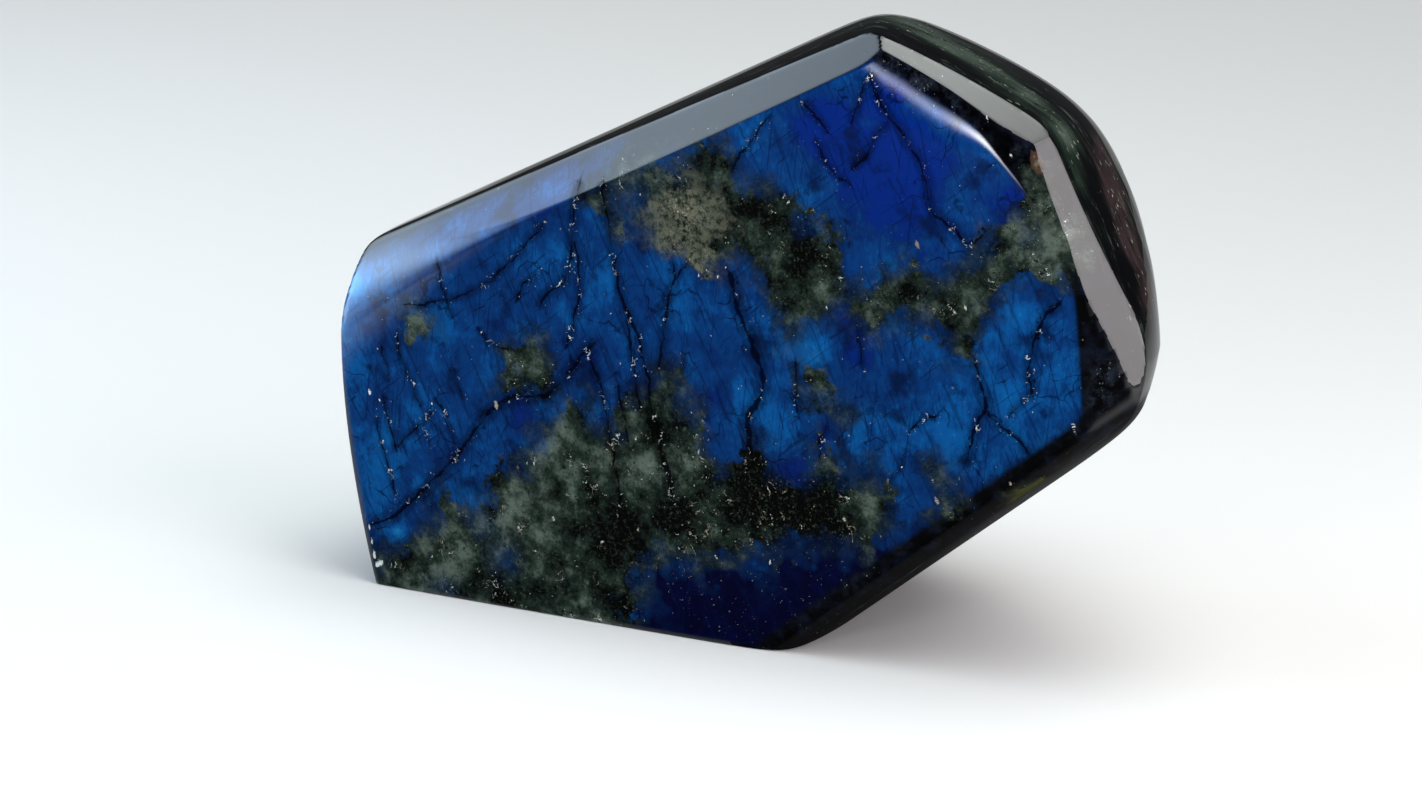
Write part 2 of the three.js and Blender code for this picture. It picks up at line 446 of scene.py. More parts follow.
# %% Outline of the upper band, as x and z on the face
UPPER_BAND = [
    (32.4, 60.5), (33.5, 62.8), (36, 64), (39, 65.3), (42, 66.3), (45, 66.8), (48, 67.8),
    (50, 69), (52.3, 69), (54, 67), (55.3, 65), (57.5, 63.8), (60.5, 63.2), (63, 62.6),
    (65, 61.6), (67.3, 60), (69.3, 58.3), (70.6, 56.5), (71.2, 54.3), (73, 52.6),
    (75, 51.4), (76.4, 52.6), (77, 54.6), (79, 55.6), (81, 56), (82.3, 54.8), (84, 54),
    (85.6, 54.2), (87, 56), (89, 57.3), (90, 59), (91.8, 60.5), (93, 62.4), (95, 63),
    (96, 64.8), (96.4, 66.8), (97.2, 68.6), (99.5, 69.5), (103, 64), (106, 59), (103.4, 57),
    (101, 56), (99, 55), (97, 56), (95, 55.8), (93.2, 54.5), (91.8, 52), (90.8, 49.5),
    (90.2, 46.5), (89.6, 44), (88, 43.6), (86.4, 44.6), (84.6, 46.6), (82.5, 48.2),
    (80, 48.4), (77.8, 47.3), (75.6, 46.3), (73.6, 48), (71, 48.6), (69, 47.2), (67, 46),
    (64.8, 44.6), (63, 44), (61.5, 45.6), (60.4, 48), (59.3, 50.5), (57.8, 53), (55.8, 54),
    (53.8, 53), (52, 51.2), (50, 50.8), (48, 51.8), (45.5, 52.4), (43.5, 53.8), (42, 56),
    (40.2, 57.2), (39, 55.4), (37.6, 55.8), (36.4, 57), (35.2, 58.4), (33.6, 59),
]
print("upper band:", len(UPPER_BAND), "points")

# %% Outline of the lower field
LOWER_FIELD = [
    (-3, -9), (-1.5, 4.6), (2, 6.2), (4.5, 7), (7, 8.3), (8.8, 10.3), (9.8, 13), (10.6, 15),
    (12.2, 14.4), (14.5, 13.4), (16.3, 14.2), (17.6, 16.2), (19, 18.6), (20.6, 19.6),
    (22.2, 20.8), (23.8, 22.4), (25.2, 24), (26.4, 26), (27.8, 28.2), (29.6, 30.2),
    (31.5, 31.4), (33.5, 30.2), (35.5, 28.3), (37.3, 28.8), (38.8, 30.8), (40.8, 32.8),
    (42.6, 33.4), (43.6, 35.6), (45.2, 37.2), (47.2, 36.8), (48.8, 35), (50, 32.6),
    (50.8, 29.6), (52, 26.8), (54, 25.6), (56.5, 26), (58.5, 28.8), (60, 28.6), (61, 26.4),
    (62.6, 25.2), (64.5, 24.6), (66.6, 25.6), (68, 28), (68.2, 31), (69.6, 30.6),
    (71.6, 28.4), (73.6, 27), (75.2, 28.6), (76.8, 26.2), (78.6, 24.2), (79.2, 21.8),
    (78, 19.6), (76, 18.4), (74.6, 16.8), (71.5, 17.2), (68.5, 16.8), (65.5, 16.2),
    (63, 15), (60.5, 14), (57.8, 13), (55, 12.2), (52, 11.2), (49, 10.6), (46, 11),
    (43.6, 10.4), (42, 8.6), (41.2, 6), (40.6, 3), (41, -9),
]
print("lower field:", len(LOWER_FIELD), "points")

# %% Outlines of the islands
LEFT_ISLAND = [
    (20.3, 31.2), (20, 33.4), (20.6, 35.4), (21.8, 37), (23.4, 37.8), (24.6, 39.2),
    (26.2, 38.6), (27.6, 37.2), (29, 35.6), (29.8, 33.6), (30.4, 32), (28.6, 30.8),
    (25.4, 30.6), (22.4, 30.6),
]
MIDDLE_ISLAND = [
    (64.8, 36.6), (66, 39), (68, 39.6), (70, 39), (71.2, 37.4), (72.4, 35.4), (72, 33.8),
    (70.4, 33.8), (69, 35), (67, 34.6),
]
LOW_ISLAND = [
    (83.2, 28.4), (84.6, 29.4), (86, 29), (86.9, 27.6), (86.8, 25.6), (87.2, 23.6),
    (86, 22.4), (84.8, 23.4), (84.6, 25.4), (83.6, 26.8),
]
SMALL_ISLAND = [(4.8, 38.8), (6, 41), (7.6, 41), (9.2, 39.4), (8.6, 36.8), (6.4, 36.6)]
DULL_PATCHES = [UPPER_BAND, LOWER_FIELD, LEFT_ISLAND, MIDDLE_ISLAND, LOW_ISLAND,
                SMALL_ISLAND]
print(len(DULL_PATCHES), "dull patches with the islands")

# %% Outlines of the tan rock, the yellow rock and the dark blue
TAN_PATCH = [
    (42.8, 54.6), (43.6, 57.4), (44.8, 60), (46.6, 61.6), (49.6, 61.2), (52.4, 60.6),
    (53.2, 58.4), (52.2, 56.8), (50.8, 55.4), (52, 53), (52.2, 51), (50, 50.8),
    (47.6, 52.2), (45.2, 52.6),
]
YELLOW_PATCH = [
    (93, 24), (93.6, 26.4), (95.4, 27.4), (97.5, 28), (100, 29.4), (103, 31.6), (105, 31),
    (101, 26), (97, 22),
]
NIGHT_BLUE = [
    (41, -9), (40.6, 3), (42, 8.6), (46, 11), (52, 11.4), (57.8, 13.2), (63, 15.4),
    (68.5, 17), (74.6, 17), (78, 17.6), (82, 19), (86, 21.4), (96, 26), (90, 10), (66, -9),
]
print("dark blue:", len(NIGHT_BLUE), "points")


# %% Distances to outlines and paths
def along_segment(points, start, end):
    """Offset from the nearest spot of a segment, how far along that is, and the side."""
    start, run = np.array(start), np.subtract(end, start)
    offset = points - start
    share = np.clip(offset @ run / (run @ run), 0, 1)
    away = offset - share[:, None] * run
    side = np.sign(offset[:, 0] * run[1] - offset[:, 1] * run[0])
    return np.linalg.norm(away, axis=1), share, side


def depth_inside(points, outline):
    """Distance to an outline, in mm: above zero inside it, below zero outside."""
    nearest, crossings = np.full(len(points), np.inf), np.zeros(len(points), int)
    x, z = points.T
    for start, end in zip(outline, outline[1:] + outline[:1]):
        nearest = np.minimum(nearest, along_segment(points, start, end)[0])
        between = (start[1] > z) != (end[1] > z)
        rise = (end[1] - start[1]) or TINY
        crosses = start[0] + (z - start[1]) * (end[0] - start[0]) / rise
        crossings += between & (x < crosses)
    return np.where(crossings % 2 == 1, nearest, -nearest)


across_face = skin[:, [0, 2]]
FAR_MM = 12


def deepest(outlines):
    depths = [depth_inside(across_face, outline) for outline in outlines]
    return np.clip(np.max(depths, axis=0), -FAR_MM, FAR_MM)


def write(name, values):
    """Stores one number on each point of the stone, for the material to read."""
    mesh.attributes.new(name, "FLOAT", "POINT").data.foreach_set(
        "value", np.asarray(values, np.float32))


for name, outlines in (("dull", DULL_PATCHES), ("tan", [TAN_PATCH]),
                       ("yellow", [YELLOW_PATCH]), ("night", [NIGHT_BLUE])):
    depths = deepest(outlines)
    write(name, depths)
    print(name + ":", int((depths > 0).sum()), "points inside, front and back")

# %% [markdown]
# ## Light and dark clouds
# The flash is a brighter azure in some places and a deep ultramarine in others, and the
# green rock has pale and nearly black clouds. Noise alone would put them anywhere, so
# each cloud is a soft ball: where it lies, how wide it is and how strongly it lightens
# (above zero) or darkens (below zero).

# %% Clouds in the blue, as x, z, radius and strength
BLUE_CLOUDS = [
    (-4, 42, 3.4, 2.6), (-4.6, 36, 2.4, 1.2),
    (10, 40, 7, 0.35), (20, 48, 5, 0.3), (46, 44, 3, 0.3),
    (60, 42, 6, 0.5), (61, 34, 4, 0.5), (66, 61.5, 3, 0.7), (70, 58.5, 2.6, 0.7),
    (96, 50.5, 4.5, 0.6), (95, 41, 6, 0.5), (101, 45, 4, 0.5), (86, 34, 6, 0.4),
    (74, 33, 4, 0.4), (92, 33, 4, 0.4), (2, 17, 5, 0.5), (3.6, 8.2, 1.2, 1.6),
    (34.6, 29.8, 1.7, 1.3), (67.5, 42.5, 3, 0.9), (88, 65, 5, 0.3), (57, 72, 6, 0.3),
    (72.5, 71, 7, -1.2), (79, 66, 6, -1.2), (84, 70, 4, -0.7), (93.5, 64.5, 4, -1.2),
    (64, 72, 4, -0.5),
    (-2, 30, 4, 0.6), (0, 20, 4, 0.8), (1, 12, 4, 0.7), (74, 43.5, 4, -0.8),
    (69, 32.5, 2, -0.9), (23, 27.5, 3.5, -0.4), (54, 33.5, 3, -0.4),
    (87, 61, 3, -0.5), (84, 58, 3, -0.4), (78, 77.5, 3, -0.5), (72, 47, 3, -0.7),
    (47, 40, 4, -0.3), (8, 30, 5, -0.3), (64, 25.5, 3, -0.8), (36, 36, 5, -0.3),
]
print(len(BLUE_CLOUDS), "clouds in the blue")

# %% Clouds in the green rock
GREEN_CLOUDS = [
    (14, 8, 4, 0.7), (9, 4, 3, 0.6), (25, 7, 4, 0.6),
    (7, 39, 2.4, 2.2),
    (30, 21, 5, 0.8), (43, 22, 4, 0.9), (24, 13, 5, 0.7), (48.5, 25, 2.5, 0.9),
    (98.5, 61, 4, 0.8), (33, 25, 4, 0.6), (100.5, 58, 2.5, 1.0), (66, 49, 3, 0.5),
    (75, 22, 2.6, 0.6), (85.5, 27.5, 2, 0.9), (25, 36, 3, 0.8), (94, 58, 3, 0.3),
    (37.5, 13.5, 4, -2.2), (46.8, 17, 3, -2.4), (44.5, 28.5, 1.8, -1.2),
    (47.5, 29.8, 1.8, -1.0), (60, 22.5, 5, -2.4), (67, 20.5, 5, -2.2), (26, 32, 2.6, -1.6),
    (20.5, 2.5, 3, -1.0), (65.5, 57, 2.8, -1.4), (58, 60.5, 2.4, -1.1),
    (61.6, 50.2, 1.5, -1.2), (66, 53.5, 2.4, -0.9), (88, 47.2, 1.6, -1.0),
    (50, 60, 1.3, -1.0), (38.8, 4, 2.4, -1.1), (77.8, 22.6, 1.4, -1.0),
    (34.5, 18, 1.5, -0.8),
]
# Where blue shows dimly through thin rock.
WINDOWS = [
    (40, 59, 3, 0.9), (46.8, 65.3, 2.2, 0.8), (17.5, 11, 2, 0.4), (20.5, 7, 2, 0.7),
    (13.5, 38.5, 2.6, 0.5), (10.5, 1, 2, 0.5), (34, 62, 2, 0.6),
    (48.5, 33.5, 2, 0.6), (27, 26, 1.6, 0.7), (15.5, 16.5, 1.6, 0.8), (62, 46.5, 1.4, 0.6),
]
print(len(GREEN_CLOUDS), "clouds and", len(WINDOWS), "windows in the green")

# %% Dust and streaks, as x, y, z, radius and strength
# Pale dust under the skin, on the dark inner bevels partly a painted sheen, and on the sides
# grey-green and brown-mauve streaks, along the top right wall partly a painted highlight.
MISTS_AND_SHEEN = [
    (107.2, 1.5, 44, 2.2, 0.7), (106.4, 1.5, 40.5, 1.8, 0.7), (103.5, 1, 36.5, 1.4, 0.4),
    # On the dark inner bevels at the top right this pale mist is partly dust and partly a
    # painted sheen, a grey-blue reflection of light.
    (77.5, 1, 80.6, 2.6, 1.0), (81.5, 1, 79, 2.4, 0.9), (85.5, 0.5, 76.6, 2.2, 0.7),
    (90, 0.5, 73.5, 1.8, 0.4), (95, 1, 71.4, 1.4, 0.5),
    (80.4, 0, 71, 1.2, 0.6), (82.4, 0, 67.6, 1.2, 0.6), (57, 0, 42, 1.4, 0.7),
    (58.4, 0, 45.4, 1.1, 0.7), (61, 0, 38.4, 1.1, 0.7),
    (52, 0, 5, 5, 0.5), (62, 0, 9, 5, 0.45), (72, 0, 13, 4, 0.35), (46, 0, 8, 4, 0.5),
    (48, 0, 14, 3, 0.7), (60, 0, 20, 4, 0.7), (70, 0, 20, 3, 0.6), (-1, 1, 5, 1.5, 0.8),
]
PALE_SIDES_AND_HIGHLIGHT = [
    # Along the top right wall these streaks are partly the rock's grey-green and partly a
    # painted highlight, a streak of light on that wall.
    (66, 15, 86, 6, 0.5), (72, 13, 84, 4.5, 0.8), (77, 12, 83, 4.2, 1.0),
    (82, 11.6, 81, 4, 1.0), (87, 12, 79, 4, 1.0), (92.5, 9, 76.3, 3.4, 1.0),
    (97.8, 7.4, 72.3, 3, 1.0), (100.4, 4.6, 67.4, 2.4, 0.7), (103.4, 3.8, 61, 2.4, 0.5),
    (100, 21, 66, 4, 0.8), (105, 18.5, 56.5, 4, 0.8), (109, 4.5, 49.8, 3, 0.45),
    (110, 8, 43.5, 3, 0.4), (40, 12, 72, 8, 0.6), (12, 14, 57, 8, 0.5),
    (-6, 16, 25, 10, 0.6), (95, 14, 25, 6, 0.7), (30, 48, 50, 16, 0.6),
    (70, 47, 30, 14, 0.7), (85, 42, 60, 10, 0.6), (10, 42, 15, 10, 0.6),
]
MAUVE_SIDES = [
    (99.8, 15, 68.6, 3.4, 1.0), (102.7, 12.8, 64, 3.4, 1.0), (105.7, 11, 58.4, 3.4, 1.0),
    (108.4, 10.4, 51.6, 3.4, 1.0), (84, 20, 80, 5, 0.7), (60, 24, 86, 8, 0.5),
]
print(len(MISTS_AND_SHEEN), "mists,", len(PALE_SIDES_AND_HIGHLIGHT + MAUVE_SIDES), "streaks on the sides")


# %% The clouds as numbers on the points
def clouds(balls, points):
    total = np.zeros(len(points))
    for *middle, radius, strength in balls:
        distance = np.linalg.norm(points - middle, axis=1)
        total += strength * np.exp(-(distance / radius) ** 2)
    return total


for name, balls in (("blue_cloud", BLUE_CLOUDS), ("green_cloud", GREEN_CLOUDS),
                    ("window", WINDOWS)):
    write(name, clouds(balls, across_face))
for name, balls in (("mist_and_sheen", MISTS_AND_SHEEN), ("pale_side_and_highlight", PALE_SIDES_AND_HIGHLIGHT), ("mauve_side", MAUVE_SIDES)):
    write(name, clouds(balls, skin))
print(len(mesh.attributes), "attributes on the mesh so far")

# %% [markdown]
# ## Cracks
# Healed cracks run through the stone, dark and hair-thin. Noise could strew them, but the
# long ones give this stone its look, so each is a path of points with a width. A point of
# the skin is told how far to the left or right of its nearest crack it is, which passes
# evenly through zero on the crack and so stays sharp between the points of the mesh, and
# how far away that crack is at all, which rules out false crossings. The cracks are dealt
# into three sets, so that close neighbours don't fight for a point.

# %% Crack paths, as width and then x and z
CRACKS = [
    (0.75, [(-1, 8.6), (3, 10.5), (5.5, 13), (8.5, 15.5), (10.5, 18), (13, 20.5),
            (15.5, 23.5), (17.5, 26.5), (19.8, 28.7), (21.5, 30), (24, 30.5), (27, 31.2),
            (29.5, 33.3), (31.5, 35.5), (33.3, 38), (35, 39.4)]),
    (0.55, [(32.3, 61), (32.1, 57.5), (31.6, 54), (31.3, 50.5), (30.6, 47.5), (28, 45.5),
            (26.5, 43.5)]),
    (0.45, [(32, 53), (32.5, 49.5), (32.7, 46), (32.3, 43.5), (31.5, 41), (30.4, 38.4)]),
    (0.5, [(36.2, 61.5), (36.8, 57.5), (37.5, 54.5), (38, 51), (38.5, 48), (39.5, 44.8),
           (41.4, 41.6), (42.2, 38.6), (43, 35.6), (43.4, 33), (43.9, 30.4)]),
    (1.0, [(43.9, 30.6), (44.5, 28), (44.9, 25.8), (45.6, 24), (46.3, 22), (46.4, 19.5)]),
    (0.4, [(39.9, 43.4), (40.3, 40.5), (40.8, 37), (41.4, 33.4), (41.7, 31)]),
    (0.5, [(34.3, 37.2), (35.3, 35), (36, 33), (36.5, 30), (37, 27.5), (37.6, 25),
           (38, 22.5), (38.4, 20), (38.6, 17.8)]),
    (0.4, [(38.3, 34), (39, 31.5), (39.5, 29), (40, 26.5)]),
    (0.5, [(46.6, 51.8), (46.8, 49.5), (46.1, 47), (45.8, 45), (45.4, 42.5), (44.9, 39),
           (44.8, 37)]),
    (0.4, [(49, 52.5), (47.7, 50.5), (46.7, 49.3)]),
    (0.95, [(54.9, 51.4), (55.6, 49.3), (56, 47), (57, 45), (58, 43), (58.8, 41),
           (59.6, 39.2), (60, 37), (59.4, 35), (58.2, 33), (57.5, 31.5), (58, 30),
           (58, 28), (58.3, 26)]),
    (0.5, [(74.7, 79.6), (75.4, 77.5), (76.5, 75.5), (78, 73.8), (79.5, 72.3),
           (80.6, 70.5), (82, 68.5), (83, 66.5), (82.9, 64.5), (83.6, 62.8), (85, 61.5),
           (87, 60.8), (88.2, 59), (89.6, 59.3), (91.4, 61.6)]),
    (0.4, [(74.3, 78.6), (73.4, 77), (73, 75.2), (72.4, 73)]),
    (0.4, [(77.2, 73.6), (75.6, 71.6), (74.9, 70), (73.6, 68.2), (72.4, 67.2)]),
    (0.45, [(65.6, 75), (67, 73.6), (69, 71.6)]),
    (0.35, [(67.3, 70.4), (68.4, 67.8), (70.4, 66), (72, 64.8)]),
    (0.6, [(89.8, 43.6), (90.5, 41.2), (91.3, 39.4), (91.4, 37.8), (90.6, 36), (90, 34),
           (89.3, 31.5), (88.7, 30)]),
    (0.4, [(91.5, 37.6), (93, 36.2), (95, 34.9), (96.6, 33.8), (97.4, 32.6)]),
    (0.5, [(101.2, 53), (99.6, 51.3), (98.5, 49.4), (97.8, 47.4), (97.3, 45), (97.5, 42.5),
           (97.8, 40.3)]),
    (0.35, [(97.6, 40.4), (96, 38.6), (94.6, 37.2)]),
    (0.35, [(84.6, 35.9), (82.6, 35.2), (81.1, 33.4)]),
    (0.3, [(80.2, 29.6), (79.2, 27.6), (78.4, 26)]),
    (0.35, [(12.6, 42.6), (15, 43.6), (18, 45.4), (20, 47), (22.5, 49.6), (25, 52.6),
            (27.5, 55)]),
    (0.35, [(10.6, 47.5), (11.3, 44.6), (12.3, 41.8), (13, 40.2)]),
    (0.3, [(5.4, 41), (8, 41.3), (10, 42), (12.4, 42.6)]),
    (0.3, [(22.9, 43.6), (24, 46), (26, 48)]),
    (0.3, [(16.9, 39.4), (18.4, 37.6), (20.4, 36.8), (22.4, 37)]),
    (0.35, [(4, 36.6), (4.3, 34.6), (5, 32.6), (6, 30.5), (6.9, 28.4), (7.5, 27)]),
    (0.3, [(1.4, 34.6), (2.2, 32), (2.6, 29.8)]),
    (0.3, [(1.6, 27.6), (2.3, 24.6), (3, 21.6), (3.6, 20)]),
    (0.3, [(0.4, 24.4), (1.4, 20.4), (2.5, 16.4), (3.2, 13.4)]),
    (0.3, [(9.9, 28.6), (11.4, 26.6), (12.4, 24), (13, 22.4)]),
    (0.3, [(3.6, 20.6), (6, 23), (9.6, 26.6)]),
    (0.3, [(13, 33), (13.8, 30.6), (14.6, 29)]),
    (0.3, [(8, 24.4), (9, 21.4)]),
    (0.3, [(60.8, 73), (58.6, 70), (56.4, 67.2), (55.2, 65)]),
    (0.35, [(64.6, 40.6), (64.7, 37.6), (64.8, 34)]),
    (0.4, [(69.2, 32.6), (68.2, 30), (68.4, 27.4)]),
    (0.3, [(73.4, 46), (73.9, 43.6), (74.2, 41)]),
]
print(len(CRACKS), "cracks of", sum(len(path) for _, path in CRACKS), "points")

# %% The cracks as numbers on the points
CRACK_SETS, TIP_WIDTH = ("trunk", "branch", "twig"), 0.3


def write_cracks(prefix, cracks):
    """Side distance, plain distance and width of each point's nearest crack."""
    reach = np.full(len(skin), np.inf)
    across, width = np.zeros(len(skin)), np.zeros(len(skin))
    for crack_width, path in cracks:
        last = len(path) - 2
        for place, (start, end) in enumerate(zip(path, path[1:])):
            distance, share, side = along_segment(across_face, start, end)
            nearer = distance < reach
            tip = share * (place == last) + (1 - share) * (place == 0)
            reach = np.where(nearer, distance, reach)
            across = np.where(nearer, side * distance, across)
            width = np.where(nearer, crack_width * np.where(tip >= 1, TIP_WIDTH, 1), width)
    write(prefix + "_reach", np.minimum(reach, FAR_MM))
    write(prefix + "_across", np.clip(across, -FAR_MM, FAR_MM))
    write(prefix + "_width", width)
    print(len(cracks), "cracks; points within 1 mm of one:", int((reach < 1).sum()))


for place, name in enumerate(CRACK_SETS):
    write_cracks(name, CRACKS[place::len(CRACK_SETS)])

# %% [markdown]
# ## Flecks, a painted glint and chipped edges
# Single grains stand out against their neighbours: feldspar needles that sparkle white,
# gold and orange ones, and a brown eye with a pale core. The few that catch the eye are
# placed one by one, and noise strews the rest later. Two white ones at the face's lower
# right corner are no grains but a painted glint, the small star of light that the corner
# mirrors. Each is a short dash that leans a little, with a radius and a warmth from 0 for
# white to 1 for brown. The chipped edges are found with the same balls that cut them,
# because raw stone is pale and dull.

# %% Flecks, as x, z, radius and warmth
FLECKS_AND_GLINT = [
    (28.3, 13.8, 0.42, 0.35), (16.3, 4.8, 0.34, 0.4), (25.7, 18.3, 0.34, 0.5),
    (19.6, 28.8, 0.5, 0.6), (12.0, 1.6, 0.42, 0.6), (81.6, 58.2, 0.5, 0.8),
    (53.0, 12.3, 0.3, 0.1), (61.0, 12.7, 0.3, 0.1), (94.8, 28.2, 0.35, 0.3),
    (17.7, 45.3, 0.26, 0.0), (9.4, 27.7, 0.24, 0.0), (-0.6, 27.8, 0.34, 0.0),
    (38.8, 37.2, 0.26, 0.0), (35.2, 32.2, 0.24, 0.1), (69.0, 48.4, 0.24, 0.0),
    (65.6, 18.2, 0.24, 0.0), (50.5, 50.6, 0.2, 0.2), (54.5, 52.0, 0.3, 0.1),
    (51.6, 51.6, 0.22, 0.3), (53.4, 50.6, 0.2, 0.0), (88.4, 50.8, 0.34, 0.3),
    (36.4, 10.6, 0.3, 0.5), (41.2, 14.4, 0.3, 0.4), (20.8, 16.6, 0.3, 0.6),
    (22.8, 20.4, 0.36, 0.9), (30.2, 35.0, 0.3, 0.4), (84.8, 24.6, 0.4, 0.4),
    (84.2, 27.4, 0.34, 0.3), (67.4, 24.6, 0.3, 0.2), (71.8, 20.2, 0.34, 0.3),
    (97.1, 70.3, 1.1, 1.0), (90.5, 75.3, 0.16, 0.0), (94.0, 71.0, 0.18, 0.1),
    # The first two here, at x 103.4 and 103.5, are a painted glint: a white star of light at
    # the face's lower right corner.
    (103.4, 36.9, 0.40, 0.0), (103.5, 36.1, 0.24, 0.0), (1.0, 27.0, 0.2, 0.0),
    (-0.9, 6.2, 0.36, 0.2), (-0.5, 4.3, 0.42, 0.1), (-0.3, 2.9, 0.34, 0.0),
    (0.3, 1.2, 0.24, 0.3), (-1.3, 8.4, 0.3, 0.1), (0.9, 3.4, 0.26, 0.0),
]
print(len(FLECKS_AND_GLINT), "flecks")

# %% Flecks, the painted glint and chips as numbers on the points
LEANING, NARROW, LONG = 0.35, 1.5, 0.75
fleck_and_glint_depth, warmth = np.full(len(skin), -np.inf), np.zeros(len(skin))
for x, z, radius, warm in FLECKS_AND_GLINT:
    right, up = across_face[:, 0] - x, across_face[:, 1] - z
    inside = radius - np.hypot(NARROW * (right + LEANING * up), LONG * up)
    warmth = np.where(inside > fleck_and_glint_depth, warm, warmth)
    fleck_and_glint_depth = np.maximum(inside, fleck_and_glint_depth)
write("fleck_and_glint", np.clip(fleck_and_glint_depth, -FAR_MM, FAR_MM))
write("warmth", warmth)

bites = [radius - np.linalg.norm(skin - [x, y, z], axis=1) for x, y, z, radius in CHIPS]
write("chip", np.clip(np.max(bites, axis=0), -FAR_MM, FAR_MM))
print("points on flecks:", int((fleck_and_glint_depth > 0).sum()))

# %% [markdown]
# ## Where the flash shows
# Labradorite only flashes where its skin lies along the thin layers inside it. The face
# does, and so does the soft corner at its upper left, but the bevels on the right lean
# too far the other way and stay nearly black. A shader could ask this of the light, but
# then the blue would slide as the view turns. So each point stores how well its skin
# faces the layers, and whether it belongs to the front, to the sides or to the rear.

# %% Flash, front and rear
LAYERS = np.array([-0.25, -0.96, 0.08])
FULL_FLASH, NO_FLASH, LEFT_GAIN = math.radians(18.5), math.radians(24), math.radians(24)
GAIN_ENDS, GAIN_RISES, PAST_BEVEL = (22, 48), (28, 38), (0.2, 1.6)
FRONT_DEPTHS, REAR_DEPTHS = (2.5, 5.0), (16, 30)

turned = np.arccos(np.clip(normals @ LAYERS / np.linalg.norm(LAYERS), -1, 1))
past = [beyond_line(skin, start, end) for start, end, *_ in INNER_BEVELS[:-1]]
past = 1 - fade(np.max(past, axis=0), *PAST_BEVEL)
high_left = (1 - fade(skin[:, 0], *GAIN_ENDS)) * fade(skin[:, 2], *GAIN_RISES)
turned = turned - LEFT_GAIN * high_left
flashing = (1 - fade(turned, FULL_FLASH, NO_FLASH)) * past
write("flash", flashing)
write("front", 1 - fade(skin[:, 1], *FRONT_DEPTHS))
write("rear", fade(skin[:, 1], *REAR_DEPTHS))
print("share of the points that flash:", np.mean(flashing > 0.5).round(2))

# %% [markdown]
# ## Where the polish is best
# The outer bevels and the walls are ground last and shine most. The wide face and the
# flats beside it are a little hazy, their edges less so, and the underside is barely
# polished. The kinds of surface differ by their tilt from the face, so the tilt picks
# each point's polish, and the best of the claims on a point wins.

# %% Polish
FACE_POLISH, EDGE_POLISH, WALL_POLISH, UNDERSIDE_POLISH = 0.03, 0.5, 0.55, 0.12
# Tilts from the face, in degrees, between which each kind of surface begins or ends.
EDGE_BEGINS, EDGE_ENDS, CORNER_BEGINS = (3, 8), (12, 17), (2, 9)
BEVEL_BEGINS, WALL_BEGINS = (26, 36), (60, 72)
# Places across or up the stone, in mm, where an effect sets in or ends.
SHINY_FROM, SHINY_TO, CORNER_ACROSS, CORNER_UP = (84, 92), (98, 101), (0, 34), (20, 38)
TOE_SIDE, DULL_EDGE, SHINIER, LEFT_DULLER = 8, 0.25, 0.95, 0.22
# How far the skin turns down, from 0 for upright to 1 for straight down.
TURNED_DOWN, UNDERNEATH = (0.01, 0.06), (0.15, 0.4)

across, up, downward = skin[:, 0], skin[:, 2], -normals[:, 2]
tilt = np.degrees(np.arccos(np.clip(-normals[:, 1], -1, 1)))
edges = EDGE_POLISH * fade(tilt, *EDGE_BEGINS) * (1 - fade(tilt, *EDGE_ENDS))
edges = edges * (DULL_EDGE + SHINIER * fade(across, *SHINY_FROM))
edges = edges * (1 - fade(across, *SHINY_TO)) * (1 - fade(downward, *TURNED_DOWN))
corner = fade(tilt, *CORNER_BEGINS) * (1 - fade(across, *CORNER_ACROSS))
corner = corner * fade(up, *CORNER_UP)
bevels = fade(tilt, *BEVEL_BEGINS) * (1 - LEFT_DULLER * high_left)
bevels = bevels * (1 - (1 - WALL_POLISH) * fade(tilt, *WALL_BEGINS))
polish = np.maximum.reduce([FACE_POLISH + 0 * tilt, edges, corner, bevels])
under_share = fade(downward, *UNDERNEATH) * (across > TOE[0] - TOE_SIDE)
polish = polish * (1 - (1 - UNDERSIDE_POLISH) * under_share)
write("polish", polish)
print("polish, least to most:", polish.min().round(2), polish.max().round(2))

# %% [markdown]
# ## Helpers for material nodes
# A material is a graph of nodes, and so is each group that it uses. A graph could be
# drawn by hand in the shader editor. In a script, helpers that add one node each to the
# graph on the bench read better: every input takes a plain number or another node's
# output, so a pattern reads like a formula.

# %% Add and fill nodes
bench = {}


def work_on(tree):
    """Puts a graph on the bench, where every helper adds its nodes."""
    bench["tree"] = tree


def tell(done):
    print(done + ":", len(bench["tree"].nodes), "nodes in the graph")


def new_node(kind):
    return bench["tree"].nodes.new("ShaderNode" + kind)


def plug(socket, value):
    if isinstance(value, bpy.types.NodeSocket):
        bench["tree"].links.new(value, socket)
    else:
        socket.default_value = value


def fill(node, *values, **named):
    """Plugs values into a node's inputs, in their order or by name."""
    for socket, value in zip(node.inputs, values):
        plug(socket, value)
    for name, value in named.items():
        plug(node.inputs[name], value)
    return node


# %% Arithmetic
def calc(operation, *values):
    node = new_node("Math")
    node.operation = operation
    return fill(node, *values).outputs[0]


def times(value, by):
    return calc("MULTIPLY", value, by)


def scale_add(value, by, plus):
    return calc("MULTIPLY_ADD", value, by, plus)


def minus(value, by):
    return calc("SUBTRACT", value, by)


def divide(value, by):
    return calc("DIVIDE", value, by)


def step(value, start, end, low=0.0, high=1.0):
    """A soft step from low to high as the value passes from start to end."""
    node = new_node("MapRange")
    node.interpolation_type = "SMOOTHSTEP"
    return fill(node, value, start, end, low, high).outputs[0]


# %% Places and noise
def vector(operation, *values, **named):
    node = new_node("VectorMath")
    node.operation = operation
    return fill(node, *values, **named).outputs[0]


def moved(position, by):
    """The position moved far off, where noise has nothing to do with the noise here."""
    return vector("ADD", position, by)


